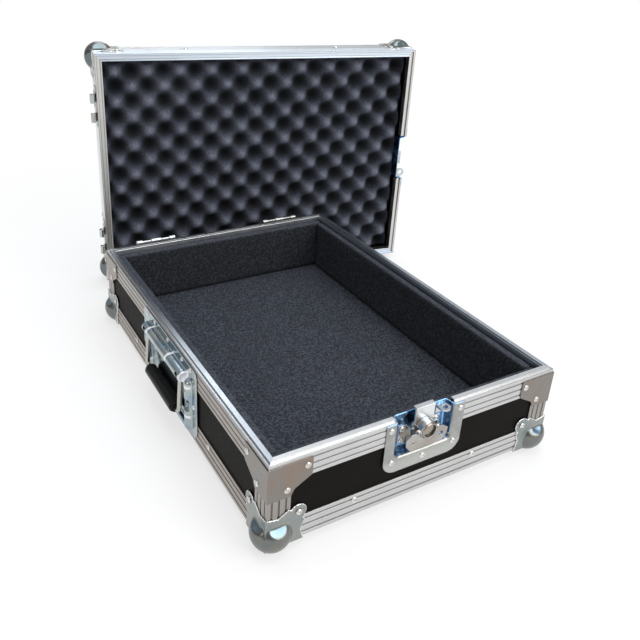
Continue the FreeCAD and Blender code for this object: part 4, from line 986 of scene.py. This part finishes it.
# Soft boxes: a key ahead and to the right, one overhead, a weak fill and a strip behind.
# Each has its name, place, width, power and colour.
LAMPS = (("key", (0.7, -2.1, 1.3), 1.9, 34.0, (1.0, 0.985, 0.96)),
         ("overhead", (0.1, 0.0, 2.2), 1.5, 20.0, (0.96, 0.98, 1.0)),
         ("fill", (-2.2, -0.8, 1.1), 1.0, 7.0, (1.0, 0.95, 0.9)),
         ("strip", (0.5, 2.2, 1.6), 1.0, 8.0, (0.95, 0.98, 1.0)))
LAMP_AIM = Vector((-0.05, 0.0, 0.1))


def make_lamps():
    """The soft boxes, turned towards the case."""
    for name, place, size, power, colour in LAMPS:
        data = bpy.data.lights.new(name, "AREA")
        data.shape = "SQUARE"
        data.size = size
        data.energy = power
        data.color = colour
        lamp = bpy.data.objects.new(name, data)
        bpy.context.scene.collection.objects.link(lamp)
        lamp.location = place
        lamp.rotation_euler = (LAMP_AIM - Vector(place)).to_track_quat("-Z", "Y").to_euler()


# Extrusions: tray, the way that they run, roughness and seams
# The short and long bars' colours are painted light and shade on one metal.
BARS = {"base_rim_short": (BASE, "X", 0.32, ()), "base_rim_long": (BASE, "Y", 0.32, ()),
        "base_angle_short": (BASE, "X", 0.36, ()), "base_angle_long": (BASE, "Y", 0.36, ()),
        "post": (BASE, "Z", 0.36, ()),
        "lid_rim_short": (LID, "X", 0.32, LID_SEAMS), "lid_rim_long": (LID, "Y", 0.32, LID_SEAMS),
        "lid_angle_short": (LID, "X", 0.3, ()), "lid_angle_long": (LID, "Y", 0.33, ())}

# Zinc: tray, second tint and roughness, and for the bail its share of spangle and of waves
ZINCS = {"bright_edge": (BASE, (0.82, 0.84, 0.84), 0.42), "pin": (BASE, (0.07, 0.062, 0.055), 0.5),
         "rivet": (BASE, (0.64, 0.62, 0.59), 0.24), "brace": (BASE, (0.26, 0.205, 0.17), 0.27),
         "bail": (BASE, (0.42, 0.41, 0.38), 0.2, 0.02, 0.1), "wing": (BASE, (0.46, 0.45, 0.425), 0.26),
         "claw": (BASE, (0.56, 0.53, 0.48), 0.24), "nose": (BASE, (0.24, 0.205, 0.17), 0.24),
         "works": (BASE, (0.50, 0.47, 0.43), 0.18),
         # The dents' tints are painted reflection.
         "base_dent": (BASE, (0.14, 0.21, 0.27), 0.16), "lid_dent": (LID, (0.12, 0.15, 0.155), 0.2)}

# Zinc that base and lid both have: second tint and roughness
TRAY_ZINCS = {"corner": ((0.33, 0.335, 0.31), 0.26), "ball": ((0.23, 0.215, 0.19), 0.24),
              "hinge": ((0.46, 0.45, 0.42), 0.26)}

DISHES = {"base": "latch_dish", "lid": "keeper_dish"}


def make_finishes():
    """Every finish by name, in the colours of the settings."""
    colours = bpy.context.scene.case_colours
    crown = BASE.extent("base_left_lining")[1].z
    crests = LID.extent("lid_foam")[1].z
    pits = crests - bpy.context.scene.case_foam.depth
    FINISHES.update(
        panel=black_laminate("panel_laminate", BASE, colours.laminate),
        lining_floor=lining_foam("lining_floor_foam", BASE, colours.floor_foam, colours.floor_speck, crown),
        lining=lining_foam("lining_wall_foam", BASE, colours.wall_foam, colours.wall_speck, crown),
        egg_crate=egg_crate_foam("egg_crate_foam", LID, colours.crate_pit, colours.crate_slope,
                                 colours.crate_crest, pits, crests),
        grip=satin_rubber("grip_rubber", BASE, colours.grip),
        nylon=satin_rubber("bush_nylon", BASE, colours.bushes),
        handle=handle_zinc("handle_zinc", BASE, colours.handle, (0.43, 0.47, 0.46)))
    for name, (tray, run, roughness, seams) in BARS.items():
        FINISHES[name] = drawn_aluminium(name, tray, run, getattr(colours, name), roughness, seams)
    for name, (tray, *looks) in ZINCS.items():
        FINISHES[name] = zinc_plate(name + "_zinc", tray, getattr(colours, name), *looks)
    for tray_name, tray in TRAYS.items():
        for word, looks in TRAY_ZINCS.items():
            name = "%s_%s" % (tray_name, word)
            FINISHES[name] = zinc_plate(name + "_zinc", tray, getattr(colours, word), *looks)
        low, high = tray.extent(DISHES[tray_name])
        FINISHES[tray_name + "_dish"] = dish_zinc(tray_name + "_dish_zinc", tray, low.z, high.z,
                                                  colours.dish, colours.dish_pool)


def finish_of(node):
    """The finish that a node wears; long bars of a node with both have theirs from bar_finishes."""
    tray = "lid" if body_of_node(node) == "lid" else "base"
    if node.endswith("_panel"):
        return FINISHES["panel"]
    if node.endswith("_rim"):
        return FINISHES["%s_rim_%s" % (tray, "short" if "front" in node or "back" in node else "long")]
    if node.endswith("_lining"):
        return FINISHES["lining_floor" if "floor" in node else "lining"]
    words = {"foam": "egg_crate", "angles": tray + "_angle_short", "posts": "post", "ball": tray + "_corner",
             "braces": "brace", "rivets": "rivet", "screws": "rivet", "dish": tray + "_dish",
             "handle_plate": "handle", "bail": "bail", "grip": "grip", "bushes": "nylon",
             "wing": "wing", "claw": "claw", "hinge": tray + "_hinge", "hooks": tray + "_hinge"}
    for word, finish in words.items():
        if word in node:
            return FINISHES[finish]
    return FINISHES["works"]


class CASE_OT_finishes(bpy.types.Operator):
    """Make every finish and put one on each piece of the frame"""
    bl_idname = "flightcase.finishes"
    bl_label = "Finishes"

    def execute(self, context):
        make_finishes()
        for name, piece in frame["nodes"].items():
            piece.data.materials.clear()
            piece.data.materials.append(finish_of(name))
        return {"FINISHED"}


class CASE_OT_extrusions(bpy.types.Operator):
    """Closing frames, corner posts, edge angles and braces, with broken edges"""
    bl_idname = "flightcase.extrusions"
    bl_label = "Extrusions"

    def execute(self, context):
        for name, side in itertools.product(TRAYS, SIDES):
            piece = softened("%s_%s_rim" % (name, side), EXTRUSION_EDGE)
            if name == "base":
                outer_finish(piece, side)
        softened("base_corner_posts", EXTRUSION_EDGE)
        for name, tray in TRAYS.items():
            piece = softened(name + "_edge_angles", EXTRUSION_EDGE)
            bar_finishes(piece, tray, FINISHES[name + "_angle_long"])
        softened("base_corner_braces", BRACE_EDGE)
        return {"FINISHED"}


class CASE_OT_pressings(bpy.types.Operator):
    """The handle's plate and both dishes, with the soft bends of pressed sheet"""
    bl_idname = "flightcase.pressings"
    bl_label = "Pressings"

    def execute(self, context):
        pressed("handle_plate", **HANDLE_MESH)
        pressed_dish("latch_dish", BASE, in_mm(context.scene.case_latch))
        pressed_dish("keeper_dish", LID, in_mm(context.scene.case_keeper))
        return {"FINISHED"}


def pocket_distance(a, drop, half, depth, radius):
    """Distance from a rounded pocket's outline that is open at the top, from its middle and its top."""
    aside, below = np.abs(a) - (half - radius), drop - (depth - radius)
    outside = np.hypot(np.maximum(aside, 0), np.maximum(below, 0))
    return outside + np.minimum(np.maximum(aside, below), 0) - radius


def dish_field(dish, half, depth, a, deep, drop):
    """Distance from a dish's sheet: a flange that rolls into a drafted pocket."""
    draft = dish.draft * np.clip(deep / dish.recess, 0, 1)
    pocket = pocket_distance(a, drop, dish.opening - draft, dish.opening_depth - draft, dish.inner_radius)
    pocket = -melted(-pocket, dish.recess - deep, dish.floor_roll)
    skin = -melted(deep + dish.metal, pocket, dish.roll)
    sheet = np.abs(skin + dish.metal / 2) - dish.metal / 2
    from_bearing = np.hypot(a, drop - dish.boss_drop)
    boss_middle = dish.recess - (dish.boss_rise - dish.boss_root) / 2
    boss_half = (dish.boss_rise + dish.boss_root) / 2
    boss = np.maximum(from_bearing - dish.boss, np.abs(deep - boss_middle) - boss_half)
    sheet = np.maximum(np.minimum(sheet, boss), dish.bore - from_bearing)
    flange = pocket_distance(a, drop, half, depth, dish.radius)
    return np.maximum(sheet, np.maximum(flange, -drop))


def pressed_dish(node, tray, dish):
    """A dish drawn from the size of its CAD flange."""
    low, high = tray.extent(node)
    half, depth = (high.x - low.x) / 2 / MM, (high.z - low.z) / MM
    edge = 2 * dish.cell
    points, faces = skin_of(lambda a, deep, drop: dish_field(dish, half, depth, a, deep, drop),
                            (-half - edge, -dish.metal - edge, -edge),
                            (half + edge, dish.recess + dish.metal + edge, depth + edge), dish.cell)
    middle = (low.x + high.x) / 2
    placed = [tray.matrix @ Vector((middle + a * MM, deep * MM, high.z - drop * MM))
              for a, deep, drop in points]
    mesh = skin_mesh(node + "_pressed", placed, faces[:, ::-1].tolist())
    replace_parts(piece_for(node, "_pressed", mesh), node)


class CASE_OT_corners(bpy.types.Operator):
    """Ball corners: a ball with two dents, in three plates whose lobes step back to the panels"""
    bl_idname = "flightcase.corners"
    bl_label = "Ball corners"

    def execute(self, context):
        corner = in_mm(context.scene.case_corner)
        edge = 2 * corner.cell
        low = [-corner.inset - edge] * 3
        high = [corner.lobe_at + corner.lobe + edge] * 3
        points, faces = skin_of(lambda u, v, w: corner_field(corner, u, v, w), low, high, corner.cell)
        zones = np.tile(corner_zones(corner, points[faces].mean(axis=1)), len(SIDES))
        every_face = np.concatenate([faces + i * len(points) for i in range(len(SIDES))]).tolist()
        for name, tray in TRAYS.items():
            node = name + "_ball_corners"
            places = [np.array(tray.side(side)) for side in SIDES]
            spread = [points * MM @ place[:3, :3].T + place[:3, 3] for place in places]
            mesh = skin_mesh(node + "_pressed", np.concatenate(spread).tolist(), every_face)
            piece = piece_for(node, "_pressed", mesh)
            for zone in (name + "_ball", name + "_dent", "bright_edge"):
                mesh.materials.append(FINISHES[zone])
            mesh.polygons.foreach_set("material_index", zones)
            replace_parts(piece, node)
        return {"FINISHED"}


def plate_outline(corner, a, b):
    """Distance from the outline of one plate of a corner."""
    edge, metal, wide = corner.edge, corner.metal, corner.edge + corner.hip_out
    body = [(-metal, -metal), (corner.flare, -metal), (edge, corner.waist), (wide, corner.hip),
            (corner.hip, wide), (corner.waist, edge - corner.waist_in), (-metal, edge)]
    lobe = np.hypot(a - corner.lobe_at, b - corner.lobe_at) - corner.lobe
    return melted(outline_distance(a, b, body), lobe, corner.lobe_fillet)


def corner_plate(corner, a, b, out):
    """Distance from one plate, whose lobe steps back towards the panel."""
    back = corner.step * eased(np.minimum(a, b), corner.step_at, corner.step_at + corner.step_run)
    thick = np.abs(out + corner.metal / 2 - back) - corner.metal / 2
    return np.maximum(plate_outline(corner, a, b), thick)


def corner_dent(corner, along, out, up):
    """Distance from the hollow that is pressed into the ball on one side."""
    run, away, rise = along - corner.dent_at[0], out + corner.dent_at[1], up - corner.dent_at[2]
    lean = corner.dent_lean
    deep = rise * math.sin(lean) - away * math.cos(lean)
    high = rise * math.cos(lean) + away * math.sin(lean)
    shares = sum((part / half) ** 2 for part, half in zip((run, deep, high), corner.dent))
    return (np.sqrt(shares) - 1) * corner.dent[1]


def corner_field(corner, u, v, w):
    """Distance from a corner's metal, in its own frame."""
    middle = corner.inset
    ball = np.sqrt((u - middle) ** 2 + (v - middle) ** 2 + (w - middle) ** 2) - corner.ball
    crease = np.maximum(u, v) + corner.metal + corner.crease_fade * np.maximum(corner.crease - w, 0)
    for hollow in (corner_dent(corner, u, v, w), corner_dent(corner, v, u, w), crease):
        ball = -melted(-ball, hollow, corner.dent_roll)
    ball = np.maximum(ball, -np.maximum(np.maximum(-u, -v), -w))
    metal = ball
    for a, b, out in ((u, w, v), (v, w, u), (u, v, w)):
        metal = melted(metal, corner_plate(corner, a, b, out), corner.fillet)
    return np.maximum(metal, -corner.flat - w)


# Where a corner's zones start, in millimetres: ball and dents by how far they stand out from the plates,
# a dent by how near its hollow is, the painted edge highlight by its width and by how near its plate is
BALL_RISE, DENT_RISE, DENT_BRIM, EDGE_BAND, EDGE_SLACK = 0.3, 0.9, 0.5, 0.8, 0.4


def corner_zones(corner, middles):
    """The finish of each face: 0 plate, 1 ball, 2 in a dent, 3 on a plate's outer edge, a painted highlight.
    """
    u, v, w = middles.T
    outward = -corner.metal - np.minimum(u, v)
    ball = np.maximum(outward, -corner.metal - w) > BALL_RISE
    hollow = np.minimum(corner_dent(corner, u, v, w), corner_dent(corner, v, u, w))
    dent = (outward > DENT_RISE) & (w > 0) & (hollow < DENT_BRIM)
    edge = np.zeros(len(middles), dtype=bool)
    for a, b, out in ((u, w, v), (v, w, u), (u, v, w)):
        outer = (plate_outline(corner, a, b) > -EDGE_BAND) & (np.maximum(a, b) > corner.ball + corner.inset)
        edge |= outer & (np.minimum(a, b) > 0) & (np.abs(out) < corner.metal + EDGE_SLACK)
    return np.where(edge, 3, np.where(dent, 2, np.where(ball, 1, 0)))


class CASE_OT_hardware(bpy.types.Operator):
    """The latch's works and wing, the keeper's bar, padlock eyes and hinges"""
    bl_idname = "flightcase.hardware"
    bl_label = "Hardware"

    def execute(self, context):
        for node in ("latch_claw", "latch_guides", "keeper_bar", "base_padlock_eye", "lid_padlock_eye",
                     "left_hinge_leaf", "right_hinge_leaf", "left_lid_hooks", "right_lid_hooks"):
            softened(node, HARDWARE_EDGE)
        stamped_wing("latch_wing", in_mm(context.scene.case_wing))
        hollow_nose(softened("latch_spindle", HARDWARE_EDGE), **NOSE)
        return {"FINISHED"}


def wing_field(wing, a, out, up):
    """Distance from the wing: a stamped plate with sloping shoulders, two holes and its knuckles."""
    half = [wing.shoulder, wing.side, wing.hip, wing.foot]
    points = [tuple(point) for point in half] + [(-point[0], point[1]) for point in reversed(half)]
    plate = outline_distance(a, up, points)
    plate = -melted(-plate, np.hypot(a, up) - wing.notch, wing.notch_roll)
    plate = np.maximum(plate, wing.hole - np.hypot(np.abs(a) - wing.hole_at[0], up - wing.hole_at[1]))
    plate = -melted(-plate, wing.metal / 2 - np.abs(out), wing.brim_roll)
    end, radius = wing.knuckle
    from_pin = np.hypot(out, up)
    along = np.abs(np.abs(a) - (end + wing.notch) / 2) - (end - wing.notch) / 2
    barrel = np.maximum(from_pin - radius, along)
    return np.maximum(melted(plate, barrel, wing.knuckle_fillet), wing.pin - from_pin)


def stamped_wing(node, wing):
    """The latch's wing, from its pin out, in the place of the CAD plate."""
    low, high = BASE.extent("latch_wing_pin")
    middle, edge = (low + high) / 2, 2 * wing.cell
    reach, thick = wing.side[0] + edge, wing.knuckle[1] + edge
    points, faces = skin_of(lambda a, out, up: wing_field(wing, a, out, up),
                            (-reach, -thick, wing.foot[1] - edge), (reach, thick, reach / 2), wing.cell)
    placed = [BASE.matrix @ (middle + Vector(point) * MM) for point in points]
    mesh = skin_mesh(node + "_stamped", placed, faces.tolist())
    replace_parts(piece_for(node, "_stamped", mesh), node)


def hollow_nose(piece, wall, slope, depth):
    """Press a shallow round hollow into the nose's face and give it the darker finish."""
    shape = bmesh.new()
    shape.from_mesh(piece.data)
    front = min(vertex.co.y for vertex in shape.verts)
    foremost = [face for face in shape.faces if face.calc_center_median().y < front + 0.05 * MM]
    bmesh.ops.inset_region(shape, faces=foremost, thickness=wall, depth=0.0)
    bmesh.ops.inset_region(shape, faces=foremost, thickness=slope, depth=-depth)
    for face in foremost:
        face.material_index = 1
    shape.to_mesh(piece.data)
    shape.free()
    piece.data.materials.append(FINISHES["nose"])


class CASE_OT_rivets(bpy.types.Operator):
    """Domed rivet heads with the hollow that the pin leaves"""
    bl_idname = "flightcase.rivets"
    bl_label = "Rivets"

    def execute(self, context):
        for node in ("base_rivets", "lid_rivets", "latch_rivets", "handle_screws"):
            mesh = mesh_of(turned_heads(node), node + "_heads", 50)
            piece = piece_for(node, "_heads", mesh)
            mesh.materials.append(FINISHES["pin"])
            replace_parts(piece, node)
        return {"FINISHED"}


def turned_heads(node):
    """A turned head for each of a CAD node's tapered ones."""
    shape = welded(node)
    heads = bmesh.new()
    for island in islands(shape):
        seat, out, radius, height = head_place([vertex.co for vertex in island])
        head = lathe([(share * radius, up * height) for share, up in HEAD_SHARES], HEAD_STEPS)
        for face in head.faces:
            # Faces in the hollow take the near-black finish: painted shade.
            face.material_index = int(face.calc_center_median().xy.length < PIN_SHARE * radius)
        turn = out.to_track_quat("Z", "Y").to_matrix().to_4x4()
        poured(head, heads, Matrix.Translation(seat) @ turn)
        head.free()
    shape.free()
    return heads


def head_place(points):
    """Seat, direction, radius and height of a tapered head, from its two rings of points."""
    middle = sum(points, Vector()) / len(points)
    reaches = [(point - middle).length for point in points]
    limit = (max(reaches) + min(reaches)) / 2
    base = [point for point, reach in zip(points, reaches) if reach > limit]
    top = [point for point, reach in zip(points, reaches) if reach <= limit]
    seat = sum(base, Vector()) / len(base)
    crown = sum(top, Vector()) / len(top)
    radius = max((point - seat).length for point in base)
    return seat, (crown - seat).normalized(), radius, (crown - seat).length


class CASE_OT_foam(bpy.types.Operator):
    """Egg-crate foam in the lid, with rounded bumps and deep pits"""
    bl_idname = "flightcase.foam"
    bl_label = "Egg-crate foam"

    def execute(self, context):
        mesh = egg_crate(context.scene.case_foam)
        piece = new_piece("egg_crate_foam", mesh, "lid", FINISHES["egg_crate"])
        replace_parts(piece, "lid_foam")
        return {"FINISHED"}


def steps_between(low, high, cell):
    """Even steps from low to high, about a cell apart."""
    count = max(1, round((high - low) / cell))
    return [low + (high - low) * i / count for i in range(count + 1)]


def egg_crate(foam):
    """A closed block whose face swells and sinks in turn both ways."""
    low, high = LID.extent("lid_foam")
    xs = steps_between(low.x, high.x, foam.cell)
    ys = steps_between(low.y, high.y, foam.cell)
    shape = bmesh.new()
    top = [[shape.verts.new(LID.matrix @ Vector((x, y, foam_level(foam, x, y, high.z)))) for y in ys]
           for x in xs]
    walk = border_walk(len(xs), len(ys))
    floor = {(i, j): shape.verts.new(LID.matrix @ Vector((xs[i], ys[j], low.z))) for i, j in walk}
    for row, following in zip(top, top[1:]):
        for j in range(len(ys) - 1):
            shape.faces.new((row[j], following[j], following[j + 1], row[j + 1]))
    for (i, j), (k, m) in zip(walk, walk[1:] + walk[:1]):
        shape.faces.new((top[i][j], top[k][m], floor[k, m], floor[i, j]))
    shape.faces.new([floor[place] for place in reversed(walk)])
    return mesh_of(shape, "egg_crate_foam", 60)


def border_walk(count_x, count_y):
    """Grid places round the border, in order."""
    last_x, last_y = count_x - 1, count_y - 1
    return ([(i, 0) for i in range(last_x)] + [(last_x, j) for j in range(last_y)]
            + [(i, last_y) for i in range(last_x, 0, -1)] + [(0, j) for j in range(last_y, 0, -1)])


def foam_level(foam, x, y, crest):
    """Height of the foam's face, rounded at the crests and a little uneven."""
    wave = math.cos(2 * math.pi * (x - foam.first_row) / foam.pitch_across)
    wave *= math.cos(2 * math.pi * y / foam.pitch_along)
    wander = noise.noise(Vector((x, y, 0.0)) / foam.wander_size) * foam.wander
    swell = max(-1.0, min(1.0, wave * foam.swell + wander))
    rounded = foam.rounding * math.sin(math.pi / 2 * swell) + (1 - foam.rounding) * swell
    return crest - foam.depth * (0.5 - 0.5 * rounded)


class CASE_OT_linings(bpy.types.Operator):
    """Foam linings on the base's walls and floor, with soft edges"""
    bl_idname = "flightcase.linings"
    bl_label = "Linings"

    def execute(self, context):
        for name in SIDES + ("floor",):
            node = "base_%s_lining" % name
            piece = soft_block(node, context.scene.case_foam)
            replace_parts(piece, node)
        return {"FINISHED"}


def soft_block(node, foam):
    """A foam block from its CAD shape: its edges eased, its faces a little uneven."""
    piece = remeshed(node, "_foam", foam.lining_cell, 2)
    points = []
    for vertex in piece.data.vertices:
        away = (noise.noise(vertex.co / foam.lining_wander_size) - 1) * foam.lining_wander
        points.append(vertex.co + vertex.normal * away)
    reshape(piece, node, points)
    return piece


class CASE_PT_panel(bpy.types.Panel):
    """Lists the steps that dress the case"""
    bl_idname = "CASE_PT_panel"
    bl_label = "Flight Case"
    bl_space_type = "VIEW_3D"
    bl_region_type = "UI"
    bl_category = "Flight Case"

    def draw(self, context):
        for step in STEPS:
            self.layout.operator(step.bl_idname)
        for name in GROUPS:
            settings = getattr(context.scene, name)
            box = self.layout.box()
            for prop in own_properties(settings):
                box.prop(settings, prop.identifier)


STEPS = (CASE_OT_stage, CASE_OT_finishes, CASE_OT_extrusions, CASE_OT_pressings, CASE_OT_corners,
         CASE_OT_hardware, CASE_OT_rivets, CASE_OT_foam, CASE_OT_linings)


def register():
    """Register the settings, operators and panel."""
    for item in (*GROUPS.values(), *STEPS, CASE_PT_panel):
        bpy.utils.register_class(item)
    for name, group in GROUPS.items():
        setattr(bpy.types.Scene, name, PointerProperty(type=group))


def unregister():
    """Take them away again."""
    for name in GROUPS:
        delattr(bpy.types.Scene, name)
    for item in reversed((*GROUPS.values(), *STEPS, CASE_PT_panel)):
        bpy.utils.unregister_class(item)


def main():
    """Dress the case."""
    register()
    for step in STEPS:
        group, name = step.bl_idname.split(".")
        getattr(getattr(bpy.ops, group), name)()


if __name__ == "__main__":
    main()
